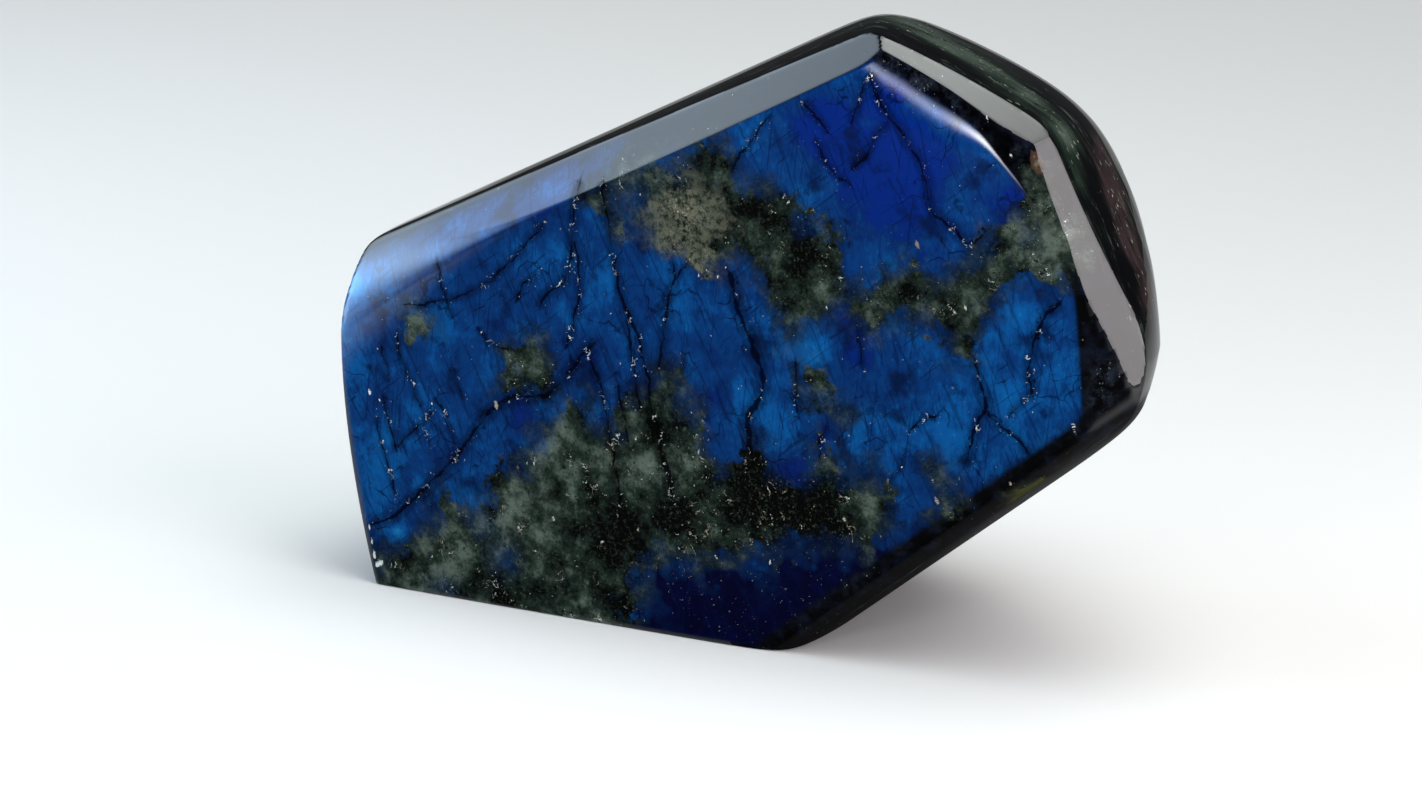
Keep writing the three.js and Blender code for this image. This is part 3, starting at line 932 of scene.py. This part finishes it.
def noise(position, size, detail=2.0, roughness=0.5, distortion=0.0):
    """Cloudy noise whose lumps are about size across, from 0 to 1."""
    linked = isinstance(size, bpy.types.NodeSocket)
    scale = divide(1.0, size) if linked else 1 / size
    return fill(new_node("TexNoise"), Vector=position, Scale=scale, Detail=detail,
                Roughness=roughness, Distortion=distortion).outputs["Fac"]


def ripple(position, size, detail, roughness):
    """The same noise, but swinging about zero."""
    return minus(noise(position, size, detail, roughness), 0.5)


# %% [markdown]
# ## Node groups
# Each of the patterns below is a node group: it is built once, has named inputs and a
# mask as its output, and each use gives it other values. The same nodes could be copied
# each time, but then a correction would have to be made in every copy.

# %% Open, close and use a group
def open_group(name, **inputs):
    """Puts a new group on the bench, with named inputs and their first values."""
    tree = bpy.data.node_groups.new(name, "ShaderNodeTree")
    for label, value in inputs.items():
        kind = "NodeSocketVector" if value is None else "NodeSocketFloat"
        socket = tree.interface.new_socket(label, in_out="INPUT", socket_type=kind)
        if value is not None:
            socket.default_value = value
    work_on(tree)
    return tree.nodes.new("NodeGroupInput").outputs


def close_group(mask):
    """Sends the mask out of the group on the bench."""
    tree = bench["tree"]
    tree.interface.new_socket("Mask", in_out="OUTPUT", socket_type="NodeSocketFloat")
    plug(tree.nodes.new("NodeGroupOutput").inputs["Mask"], mask)
    tell(tree.name)
    return tree


def use(group, **values):
    node = new_node("Group")
    node.node_tree = group
    return fill(node, **values).outputs[0]


# %% [markdown]
# ## Ragged borders
# A patch of rock ends in a torn line, not a smooth curve. More points on the outline
# could draw it, but noise does it at every size at once. The group takes the distance to
# an outline, shifts it by noise, which also tears off small islands, and makes a step of
# it that is crisp in some places and hazy in others.

# %% Node group: ragged border
# Noise is given here and below as lump size in mm, detail and roughness.
TEAR, HAZE = (3.4, 7, 0.66), (5.0, 2)
given = open_group("ragged border", Position=None, Depth=0.0, Waver=12.0, Feather=0.5)
shifted = scale_add(ripple(given["Position"], *TEAR), given["Waver"], given["Depth"])
hazy = noise(moved(given["Position"], (40, 0, 17)), *HAZE)
softness = times(given["Feather"], step(hazy, 0.4, 0.6, 0.4, 3.2))
ragged = close_group(step(shifted, times(softness, -1.0), softness))

# %% [markdown]
# ## How a crack is drawn
# The group draws the dark core of a crack from its signed distance, lets noise swing it
# from side to side and thins it out, lays a soft dark halo along it, where the light that
# should come back from below the skin is blocked, and strews dark clumps beside it. A
# crack cut into the mesh would need far more points and look no different.

# %% Node group: crack
def chain(operation, first, *others):
    """Joins values one after another, such as to find the smallest of them."""
    for other in others:
        first = calc(operation, first, other)
    return first


def largest(*values):
    return chain("MAXIMUM", *values)


SWING, SWELL, CLUMPS = (2.4, 3, 0.6), (3.2, 3, 0.6), (1.0, 5, 0.75)
given = open_group("crack", Position=None, Across=5.0, Reach=5.0, Width=0.4, Wander=1.5)
position, reach, width = given["Position"], given["Reach"], given["Width"]
line = scale_add(ripple(position, *SWING), given["Wander"], given["Across"])
away = calc("ABSOLUTE", line)
body = times(width, step(noise(position, *SWELL), 0.36, 0.62, 0.12, 0.95))
core = step(away, times(body, 0.25), body, 1.0, 0.0)
halo = step(away, 0.0, times(width, 3.2), 0.55, 0.0)
clumped = step(ripple(position, *CLUMPS), 0.07, 0.13)
clumped = times(clumped, step(reach, width, scale_add(width, 1.6, 0.1), 1.0, 0.0))
drawn = times(largest(core, halo), step(reach, 0.9, 1.5, 1.0, 0.0))
crack = close_group(largest(drawn, clumped))

# %% [markdown]
# ## Speckle
# Dust and single grains are the same thing to a material: small spots of uneven size.
# Noise cut off near its top would give spots too, but ones that run together. A Voronoi
# pattern has one spot in each cell, and only some of the cells are chosen.

# %% Node group: speckle
def shaken(position, scale, by):
    """The position pushed about by coloured noise, so that cells get uneven borders."""
    push = fill(new_node("TexNoise"), Vector=position, Scale=scale, Detail=3.0)
    return vector("MULTIPLY_ADD", push.outputs["Color"], (by, by, by), position)


given = open_group("speckle", Position=None, Spacing=1.0, Radius=0.2, Share=0.3)
cells = fill(new_node("TexVoronoi"), Vector=shaken(given["Position"], 3.0, 0.6),
             Scale=divide(1.0, given["Spacing"]))
chance = fill(new_node("SeparateColor"), cells.outputs["Color"]).outputs
chosen = calc("LESS_THAN", chance[0], given["Share"])
size = times(given["Radius"], scale_add(chance[1], 0.9, 0.4))
border = divide(size, given["Spacing"])
spot = step(cells.outputs["Distance"], times(border, 0.6), border, 1.0, 0.0)
speckle = close_group(times(spot, chosen))

# %% [markdown]
# ## Glints
# Flakes of feldspar and ore lie on edge in the stone and show as short curved dashes.
# They are too many to draw one by one. The line where a noise pattern passes its middle
# value is a long curve, and a second noise keeps only short bits of it.

# %% Node group: glints
given = open_group("glints", Position=None, Size=1.2, Limit=0.6, Thickness=0.016)
size, thickness = given["Size"], given["Thickness"]
curve = calc("ABSOLUTE", ripple(given["Position"], size, 2, 0.5))
curve = step(curve, times(thickness, 0.4), thickness, 1.0, 0.0)
kept = noise(moved(given["Position"], (13, 5, 29)), size, 4, 0.7)
kept = step(minus(kept, given["Limit"]), 0.0, 0.03)
glints = close_group(times(curve, kept))

# %% [markdown]
# ## Layer lines
# The layers that make the flash end at the skin in faint parallel lines. Noise stretched
# along one direction gives streaks of uneven length, and a step keeps only the thinnest.
# A wave pattern would be too regular.

# %% Node group: layer lines
given = open_group("layer lines", Position=None, Angle=0.6, Spacing=0.6, Length=9.0,
                   Keep=0.35)
turn = new_node("VectorRotate")
turn.rotation_type = "Y_AXIS"
along = fill(turn, Vector=given["Position"], Angle=given["Angle"]).outputs[0]
stretch = fill(new_node("CombineXYZ"), given["Length"], given["Length"], given["Spacing"])
streaks = noise(vector("DIVIDE", along, stretch.outputs[0]), 1.0)
lines = close_group(step(streaks, minus(given["Keep"], 0.06), given["Keep"], 1.0, 0.0))

# %% [markdown]
# ## The stone's material
# One graph paints the whole stone: the blue of the flash, the green rock over it, cracks
# over both, then grains and dust, and a different, darker rule for the sides and back. A
# clear coat over everything is the polish. Several materials could share the stone, but
# their borders would show as hard seams.

# %% Colours, as linear red, green and blue
NIGHT, INDIGO = (0.0002, 0.0003, 0.010, 1), (0.0004, 0.0011, 0.018, 1)
NAVY, DEEP = (0.0004, 0.0034, 0.022, 1), (0.0009, 0.0095, 0.055, 1)
ULTRA, BLUE = (0.0004, 0.0098, 0.102, 1), (0.0012, 0.0215, 0.096, 1)
AZURE, CYAN = (0.0018, 0.0535, 0.182, 1), (0.006, 0.13, 0.32, 1)
CRACK_BLUE, BLACK = (0.0003, 0.0006, 0.005, 1), (0.0005, 0.0005, 0.0007, 1)
ROCK_DARK, ROCK = (0.0003, 0.0007, 0.0004, 1), (0.0072, 0.0132, 0.0096, 1)
ROCK_PALE, TAN = (0.068, 0.09, 0.072, 1), (0.125, 0.128, 0.088, 1)
YELLOW, GOLD = (0.03, 0.033, 0.006, 1), (0.30, 0.26, 0.18, 1)
BROWN, MAUVE = (0.05, 0.026, 0.015, 1), (0.017, 0.0105, 0.0115, 1)
SLATE, STEEL = (0.003, 0.0045, 0.010, 1), (0.014, 0.024, 0.050, 1)
# The pale fog is dust, and on the dark inner bevels partly a painted sheen of reflected
# light.
DUST_AND_SHEEN, WHITE = (0.030, 0.040, 0.062, 1), (0.6, 0.64, 0.62, 1)
print("palest blue and rock:", CYAN[:3], ROCK_PALE[:3])

# %% Helpers that stretch a place, read a mark and mix two colours
SHARE_AND_COLOURS, MIXED = (0, 6, 7), 2


def stretched(position, by):
    return vector("MULTIPLY", position, by)


def mark(name):
    """Reads one of the numbers written on the stone's points."""
    node = new_node("Attribute")
    node.attribute_name = name
    return node.outputs["Fac"]


def blend(share, under, over):
    """One colour over another, by a share from 0 to 1."""
    node = new_node("Mix")
    node.data_type = "RGBA"
    for socket, value in zip(SHARE_AND_COLOURS, (share, under, over)):
        plug(node.inputs[socket], value)
    return node.outputs[MIXED]


# %% [markdown]
# ## The blue of the flash
# Light thrown back by the stone's thin layers comes out blue, and which blue depends on
# the layers' thickness, which drifts slowly across the stone. So the blue is a row of
# colours from navy to cyan. Slow noise with a finer one on it picks the colour, and the
# clouds stored on the points push it up or down. A ramp across the stone would be
# simpler, but it would show as stripes.

# %% The blue of the flash
DRIFT, FINE, DIMNESS, DUSK = (5.5, 6, 0.62), (0.7, 4, 0.75), (6.5, 5, 0.6), (2.4, 5, 0.65)
material = bpy.data.materials.new("polished_labradorite")
material.use_nodes = True
work_on(material.node_tree)
surface = material.node_tree.nodes["Principled BSDF"]
place = vector("SCALE", new_node("TexCoord").outputs["Object"], Scale=1 / MM)
cloud = mark("blue_cloud")
drift = ripple(place, *DRIFT)
tone = scale_add(drift, 5.0, cloud)
tone = scale_add(ripple(stretched(place, (1, 1, 0.4)), *FINE), 2.0, tone)
blue = blend(step(tone, -1.2, -0.05), DEEP, BLUE)
blue = blend(step(tone, -0.1, 1.0), blue, AZURE)
blue = blend(step(tone, 1.1, 2.2), blue, CYAN)
blue = blend(step(scale_add(drift, 3.0, cloud), -1.1, -0.35, 0.9, 0.0), blue, ULTRA)
dim = noise(moved(place, (3, 11, 7)), *DIMNESS)
blue = blend(step(dim, 0.32, 0.46, 0.85, 0.0), blue, NAVY)
night = use(ragged, Position=place, Depth=mark("night"), Waver=12.0, Feather=2.6)
dusk = blend(step(noise(place, *DUSK), 0.42, 0.66), NIGHT, INDIGO)
blue = blend(night, blue, dusk)
tell("blue")

# %% [markdown]
# ## Lines in the blue
# Layer lines run through the blue in a few directions that cross, and between the cracks
# lies a net of hairlines. The borders of Voronoi cells make such a net once noise has
# bent them, and more noise rubs most of it out, because a whole net would look like
# tiles.

# %% Layer lines and hairlines
# Layer lines: angle, gap and length in mm, how much is kept, share.
FIBRES = [(39, 0.42, 8.0, 0.375, 0.55), (105, 0.4, 8.0, 0.38, 0.5), (118, 0.8, 12, 0.42, 0.4),
          (84, 0.3, 14.0, 0.37, 0.5)]
for angle, gap, length, keep, share in FIBRES:
    fibres = use(lines, Position=place, Angle=math.radians(angle), Spacing=gap,
                 Length=length, Keep=keep)
    blue = blend(times(fibres, share), blue, NAVY)
net = new_node("TexVoronoi")
net.feature = "DISTANCE_TO_EDGE"
fill(net, Vector=shaken(place, 0.16, 7), Scale=0.14)
hairline = step(net.outputs["Distance"], 0.003, 0.022, 1.0, 0.0)
hairline = times(hairline, step(noise(place, 5.0, 4), 0.47, 0.6))
blue = blend(times(hairline, 0.7), blue, CRACK_BLUE)
tell("lines in the blue")

# %% [markdown]
# ## The dark seam round the rock
# Where rock wedges in under the skin the flash above it goes dark, so each patch has a
# dim seam along parts of its border. The distance that shapes the patch shapes the seam
# too, only shifted by its own noise and stepped further out.

# %% Dark seam
SEAM, SEAM_BREAKS = (2.6, 6, 0.7), (7.0, 2)
dull_depth = mark("dull")
seam = step(scale_add(ripple(place, *SEAM), 9.0, dull_depth), -2.6, 0.2, 0.0, 0.62)
seam = times(seam, step(noise(place, *SEAM_BREAKS), 0.4, 0.58))
blue = blend(seam, blue, NAVY)
tell("seam")

# %% [markdown]
# ## The green rock
# The dull patches are dark green and grey grains packed together. Lumps of shade give the
# clouds in them and a finer grit the grains, light and dark by turns. One patch is tan
# and crumbly, one is yellowish, and in a few places blue shows through where the rock is
# thin. Each is blended over the one before it, as layers of glaze would be.

# %% Green, tan and yellow rock
LUMPS, GRIT, CRUMB, THINNESS = (3.6, 8, 0.68), (0.5, 6, 0.8), (0.7, 5, 0.75), (1.6, 5, 0.7)
shade = scale_add(ripple(place, *LUMPS), 9.0, mark("green_cloud"))
rock = blend(step(shade, -1.1, 0.3), ROCK_DARK, ROCK)
rock = blend(step(shade, 0.0, 2.2), rock, ROCK_PALE)
grit = noise(place, *GRIT)
rock = blend(step(grit, 0.53, 0.72, 0.0, 0.5), rock, ROCK_PALE)
rock = blend(step(grit, 0.33, 0.49, 0.8, 0.0), rock, ROCK_DARK)
tan = use(ragged, Position=place, Depth=mark("tan"), Waver=15.0, Feather=2.6)
crumb = noise(place, *CRUMB)
rock = blend(times(tan, 0.72), rock, blend(step(crumb, 0.36, 0.60), ROCK, TAN))
yellow = use(ragged, Position=place, Depth=mark("yellow"), Waver=6.0, Feather=0.5)
rock = blend(yellow, rock, YELLOW)
window = times(mark("window"), step(noise(place, *THINNESS), 0.4, 0.6, 0.35, 1.0))
rock = blend(times(window, 0.7), rock, BLUE)
dull = use(ragged, Position=place, Depth=dull_depth, Waver=11.0, Feather=1.3)
dull = largest(dull, yellow)
tell("rock")

# %% [markdown]
# ## The sides and the back
# Behind the rim the layers no longer flash, and the stone is nearly black with grey-green
# and mauve streaks that run along the girdle. Noise that is drawn out along x and z, but
# not along the depth, gives the streaks, and it needs no seam as a wrapped pattern would.
# The back adds dim patches of steel blue. Then the front colours are laid over, as far as
# each point belongs to the front.

# %% Side rock
GRAIN, BANDS, STEEL_PATCHES = (1.1, 6, 0.7, 0.6), (3.5, 4, 0.6), (14.0, 5, 0.6)
side_place = stretched(place, (0.16, 1.0, 0.16))
grainy = noise(side_place, *GRAIN)
banded = ripple(side_place, *BANDS)
# The pale streaks along the top right wall are partly a painted highlight.
side_shade = scale_add(banded, 2.4, mark("pale_side_and_highlight"))
side_rock = blend(step(side_shade, 0.1, 1.0), BLACK, ROCK)
side_rock = blend(step(side_shade, 0.6, 1.7, 0.0, 0.7), side_rock, ROCK_PALE)
mauve = scale_add(banded, 1.6, mark("mauve_side"))
side_rock = blend(step(mauve, 0.25, 0.9), side_rock, MAUVE)
steely = step(noise(place, *STEEL_PATCHES), 0.5, 0.62, 0.0, 0.8)
behind = times(step(side_shade, 0.5, 0.0), mark("rear"))
side_rock = blend(times(steely, behind), side_rock, STEEL)
side_rock = blend(step(grainy, 0.55, 0.76, 0, 0.7), side_rock, ROCK_PALE)
side_rock = blend(step(grainy, 0.36, 0.47, 0.9, 0.0), side_rock, BLACK)
tell("side rock")

# %% Dark bevels, mist, and the front over the sides
DARK_PATCHES, WISPS = (3.0, 5, 0.65), (1.3, 6, 0.7)
flash, front = mark("flash"), mark("front")
dark_front = blend(step(noise(place, *DARK_PATCHES), 0.45, 0.7), BLACK, SLATE)
# On the dark bevels this pale fog is partly dust and partly a painted sheen of reflected
# light.
mist_and_sheen = times(mark("mist_and_sheen"), step(noise(place, *WISPS), 0.42, 0.66))
dark_front = blend(times(mist_and_sheen, 0.45), dark_front, DUST_AND_SHEEN)
colour = blend(dull, blend(flash, dark_front, blue), rock)
colour = blend(front, side_rock, colour)
tell("front over sides")

# %% [markdown]
# ## Cracks and crumbs
# The three sets of cracks are drawn by the same group and the darkest claim wins. In the
# rock, crumbs of ore crowd together, black with some brown. They are noise cut off near
# its top, and slower noise lowers the limit where they crowd.

# %% Cracks and crumbs
CROWDS, CRUMBS = (4.0, 3, 0.6), (0.95, 5, 0.75)
drawn = [use(crack, Position=place, Across=mark(name + "_across"),
             Reach=mark(name + "_reach"), Width=mark(name + "_width"))
         for name in CRACK_SETS]
cracked = times(largest(*drawn), front)
colour = blend(times(cracked, 0.95), colour, blend(dull, CRACK_BLUE, BLACK))
crowd = step(noise(place, *CROWDS), 0.47, 0.66)
crumbs = noise(moved(place, (5, 9, 2)), *CRUMBS)
crumbs = step(minus(crumbs, scale_add(crowd, -0.07, 0.64)), 0.0, 0.025)
crumbs = times(crumbs, times(dull, front))
crumb_colour = blend(step(crumb, 0.56, 0.66), BLACK, BROWN)
colour = blend(times(crumbs, 0.92), colour, crumb_colour)
tell("cracks and crumbs")

# %% [markdown]
# ## Glints and dust
# Bright dashes and dust gather along the cracks, among the crumbs and in the mist, and
# thin out elsewhere. They could be scattered as tiny flakes of mesh, but thousands of
# them lie under one skin, so they are masks whose share rises where the stone is busy.

# %% Where it is busy, and the dashes and dust
reaches = [mark(name + "_reach") for name in CRACK_SETS]
beside = times(step(chain("MINIMUM", *reaches), 0.3, 1.1, 1.0, 0.0),
               step(noise(place, 3.0, 3, 0.6), 0.42, 0.62, 0.1, 0.95))
busy = largest(beside, times(crowd, dull), times(mark("mist_and_sheen"), 0.75))
dashes = use(glints, Position=place, Size=1.0, Limit=scale_add(busy, -0.21, 0.70),
             Thickness=0.028)
share = scale_add(busy, 0.16, 0.015)
sparks = use(speckle, Position=place, Spacing=0.5, Radius=0.10, Share=share)
dust = use(speckle, Position=moved(place, (31, 7, 3)), Spacing=0.3, Radius=0.055,
           Share=times(share, 1.5))
sparks = largest(dashes, largest(sparks, dust))
spark_colour = blend(step(noise(place, 1.5, 2), 0.46, 0.62), GOLD, WHITE)
shown_sparks = times(sparks, step(noise(place, 0.8, 2), 0.35, 0.7, 0.2, 0.9))
colour = blend(times(shown_sparks, front), colour, spark_colour)
tell("glints and dust")

# %% Grain on the sides
side_grain = use(speckle, Position=stretched(place, (0.5, 1, 0.5)), Spacing=0.5,
                 Radius=0.16, Share=step(largest(side_shade, mauve), 0.3, 0.9, 0.02, 0.5))
side_grain = times(side_grain, minus(1.0, front))
patchy = step(noise(place, 2.2, 4, 0.7), 0.38, 0.58, 0.2, 1.0)
grain_colour = blend(step(grit, 0.48, 0.6), ROCK_PALE, GOLD)
colour = blend(times(side_grain, patchy), colour, grain_colour)
tell("side grain")

# %% [markdown]
# ## Flecks and chips
# The flecks and chips stored on the points are laid on last, because nothing covers them.
# A little noise added to their distance makes their edges uneven. Raw stone in a chip is
# pale where its crumbs catch the light.

# %% Flecks and chips
# The flecks include a painted glint, a white star of light at the face's lower right corner.
speck_and_glint = scale_add(minus(crumb, 0.5), 1.2, mark("fleck_and_glint"))
warm = mark("warmth")
hue = blend(step(warm, 0.0, 0.5), WHITE, GOLD)
hue = blend(step(warm, 0.6, 1.0), hue, BROWN)
hue = blend(times(step(speck_and_glint, 0.45, 0.75), warm), hue, TAN)
flecked_and_glint = times(step(speck_and_glint, -0.03, 0.1), front)
colour = blend(times(flecked_and_glint, 0.75), colour, hue)
chipped = step(mark("chip"), -0.35, -0.06)
raw = blend(step(crumb, 0.42, 0.62), ROCK_PALE, WHITE)
colour = blend(times(chipped, 0.8), colour, raw)
tell("flecks and chips")

# %% [markdown]
# ## The polish as a coat
# The flash comes back from inside like light from foil, so where it shows the stone is
# partly metallic. The polish over it is a thin clear coat with feldspar's own refraction,
# as strong as the points say and broken by cracks and chips. The surface could be glossy
# itself, but then the blue would tint what it mirrors, and a polished stone mirrors
# white.

# %% Surface and coat
FELDSPAR_INDEX, COAT_HAZE, FOIL = 1.56, 0.035, 0.4
plug(surface.inputs["Base Color"], colour)
flashing = times(times(flash, front), minus(1.0, dull))
plug(surface.inputs["Metallic"], times(flashing, FOIL))
plug(surface.inputs["Roughness"], step(dull, 0, 1, 0.38, 0.5))
broken = largest(chipped, times(cracked, 0.7))
plug(surface.inputs["Coat Weight"], times(mark("polish"), minus(1.0, broken)))
surface.inputs["Specular IOR Level"].default_value = 0.0
surface.inputs["Coat Roughness"].default_value = COAT_HAZE
surface.inputs["Coat IOR"].default_value = FELDSPAR_INDEX
tell("polish")

# %% [markdown]
# ## Relief
# The polishing wheel pulls cracks and crumbs out a little, so they lie below the skin,
# glints and dust less so, and a chip is rough. All this is far too fine for the mesh, so
# a bump tilts the light on it instead. The chips themselves are cut into the mesh.

# %% Relief of cracks, crumbs and chips
RELIEF, RELIEF_DEPTH = 0.5, 0.15 * MM
height = times(largest(cracked, crumbs), -0.6)
height = scale_add(chipped, times(crumb, 1.5), height)
height = scale_add(sparks, -0.3, height)
bump = fill(new_node("Bump"), Height=height, Strength=RELIEF, Distance=RELIEF_DEPTH)
plug(surface.inputs["Normal"], bump.outputs["Normal"])
tell("relief")

# %% [markdown]
# ## One piece on one body
# The real stone has no parts that move or come off, so it is one piece. It rides on the
# imported model's only body, stands for the imported stone, which is hidden, and wears
# the polished material.

# %% The stone rides on its body
mesh.materials.append(material)
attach(stone, "root")
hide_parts(NODE)
print(stone.name, "stands for", NODE)

# %% [markdown]
# ## The floor
# A plain pale sheet of paper. It also lights the stone from below and in front, because a
# polished face that leans towards the floor mirrors it faintly. A backdrop that curves up
# behind is usual too, but from a little above a flat sheet fills the view by itself.

# %% Floor
FLOOR_HALF, PAPER, PAPER_ROUGHNESS = 4.0, (0.55, 0.55, 0.54, 1), 0.9
floor_mesh = bpy.data.meshes.new("floor")
floor_corners = [(-FLOOR_HALF, -FLOOR_HALF, 0), (FLOOR_HALF, -FLOOR_HALF, 0),
                 (FLOOR_HALF, FLOOR_HALF, 0), (-FLOOR_HALF, FLOOR_HALF, 0)]
floor_mesh.from_pydata(floor_corners, [], [(0, 1, 2, 3)])
floor = bpy.data.objects.new("floor", floor_mesh)
bpy.context.scene.collection.objects.link(floor)
paper = bpy.data.materials.new("pale_paper")
paper.use_nodes = True
paper_surface = paper.node_tree.nodes["Principled BSDF"]
paper_surface.inputs["Base Color"].default_value = PAPER
paper_surface.inputs["Roughness"].default_value = PAPER_ROUGHNESS
floor_mesh.materials.append(paper)
print("floor, m across:", 2 * FLOOR_HALF)

# %% [markdown]
# ## The light
# A polished stone shows its shape by what it mirrors. So each softbox stands where one
# part of the stone mirrors it to the camera: a soft one overhead for the bevels at the
# top right, a tall one at the right for the long bevel there, a soft one at the left for
# the long bevel at the upper left, one low at the left for the worn corner, and a small
# one in front for the streak on the inner bevels. A soft box is brightest in its middle,
# so its mirror image has no hard edge. A wide sun and a dim world stand in for a clouded
# sky.

# %% Helpers for the lamps
STONE_MIDDLE = (cad_low + cad_high) / 2
HARD_SPREAD, SOFT_SPREAD = math.radians(150), math.pi


def aim(lamp, towards):
    lamp.rotation_euler = Vector(-np.array(towards)).to_track_quat("-Z", "Y").to_euler()
    bpy.context.scene.collection.objects.link(lamp)


def fade_out(light):
    """Makes a lamp brightest in its middle and dark at its border."""
    light.use_nodes = True
    work_on(light.node_tree)
    off = vector("SUBTRACT", new_node("NewGeometry").outputs["Parametric"], (0.5, 0.5, 0.0))
    length = new_node("VectorMath")
    length.operation = "LENGTH"
    fill(length, stretched(off, (2, 2, 0)))
    strength = step(length.outputs["Value"], 0.0, 1.0, 1.0, 0.0)
    plug(light.node_tree.nodes["Emission"].inputs["Strength"], strength)


def softbox(name, towards, distance, wide, tall, radiance, tint, soft):
    """A lamp that faces the stone from this direction, as bright as radiance looks."""
    towards = np.array(towards) / np.linalg.norm(towards)
    light = bpy.data.lights.new(name, "AREA")
    light.shape, light.size, light.size_y = "RECTANGLE", wide, tall
    light.energy = radiance * math.pi * wide * tall
    light.color, light.spread = tint, SOFT_SPREAD if soft else HARD_SPREAD
    if soft:
        fade_out(light)
    lamp = bpy.data.objects.new(name, light)
    lamp.location = STONE_MIDDLE + towards * distance
    aim(lamp, towards)


# %% Softboxes
# Each: name, direction from the stone, distance, width and height in m, radiance, tint,
# and whether it is soft.
BOXES = [
    ("sky_box", (0.20, 0.0, 0.98), 0.46, 0.58, 0.38, 4.6, (0.88, 1.0, 0.92), True),
    ("right_box", (0.895, -0.236, 0.375), 0.36, 0.34, 0.35, 3.3, (1.0, 0.94, 0.97), False),
    ("left_box", (-0.84, -0.07, 0.53), 0.52, 0.62, 0.62, 4.8, (0.68, 0.84, 1.0), True),
    ("corner_box", (-0.90, -0.42, 0.16), 0.60, 0.56, 0.56, 9.0, (0.60, 0.82, 1.0), True),
    ("streak_box", (-0.19, -0.977, 0.076), 0.434, 0.16, 0.13, 45.0, (0.93, 0.95, 1.0), True),
]
for box in BOXES:
    softbox(*box)
print(len(BOXES), "softboxes")

# %% Sky and world
SKY_TOWARDS, SKY_WIDTH, SKY_STRENGTH = (0.25, -0.02, 0.97), math.radians(60), 2.6
WORLD_TINT, WORLD_STRENGTH = (0.9, 0.94, 1.0, 1), 0.08
sky = bpy.data.lights.new("sky", "SUN")
sky.energy, sky.angle = SKY_STRENGTH, SKY_WIDTH
aim(bpy.data.objects.new("sky", sky), SKY_TOWARDS)
world = bpy.data.worlds.new("studio")
world.use_nodes = True
background = world.node_tree.nodes["Background"]
background.inputs["Color"].default_value = WORLD_TINT
background.inputs["Strength"].default_value = WORLD_STRENGTH
bpy.context.scene.world = world
print("lamps:", len(bpy.data.lights))

# %% [markdown]
# ## The camera
# A long lens from a little above, turned to the stone's right-hand side, so that the
# bevels on the right and the side behind them both show. A short lens close up would bend
# the stone's proportions. The place is given in the workshop frame's millimetres and
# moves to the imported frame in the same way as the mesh.

# %% Camera
LENS, SENSOR, CLIP = 110.0, 36.0, (0.01, 50)
CAMERA_AT = np.array([302.2, -488.9, 191.4])
TOWARDS = np.array([-0.4380, 0.8557, -0.2756])
camera_data = bpy.data.cameras.new("camera")
camera_data.lens, camera_data.sensor_width = LENS, SENSOR
camera_data.clip_start, camera_data.clip_end = CLIP
camera = bpy.data.objects.new("camera", camera_data)
camera.location = cad_low + (CAMERA_AT - own_low) * growth
camera.rotation_euler = Vector(TOWARDS).to_track_quat("-Z", "Y").to_euler()
bpy.context.scene.collection.objects.link(camera)
bpy.context.scene.camera = camera
bpy.context.scene.view_settings.view_transform = "Standard"
print("camera at, m:", [round(value, 3) for value in camera.location])
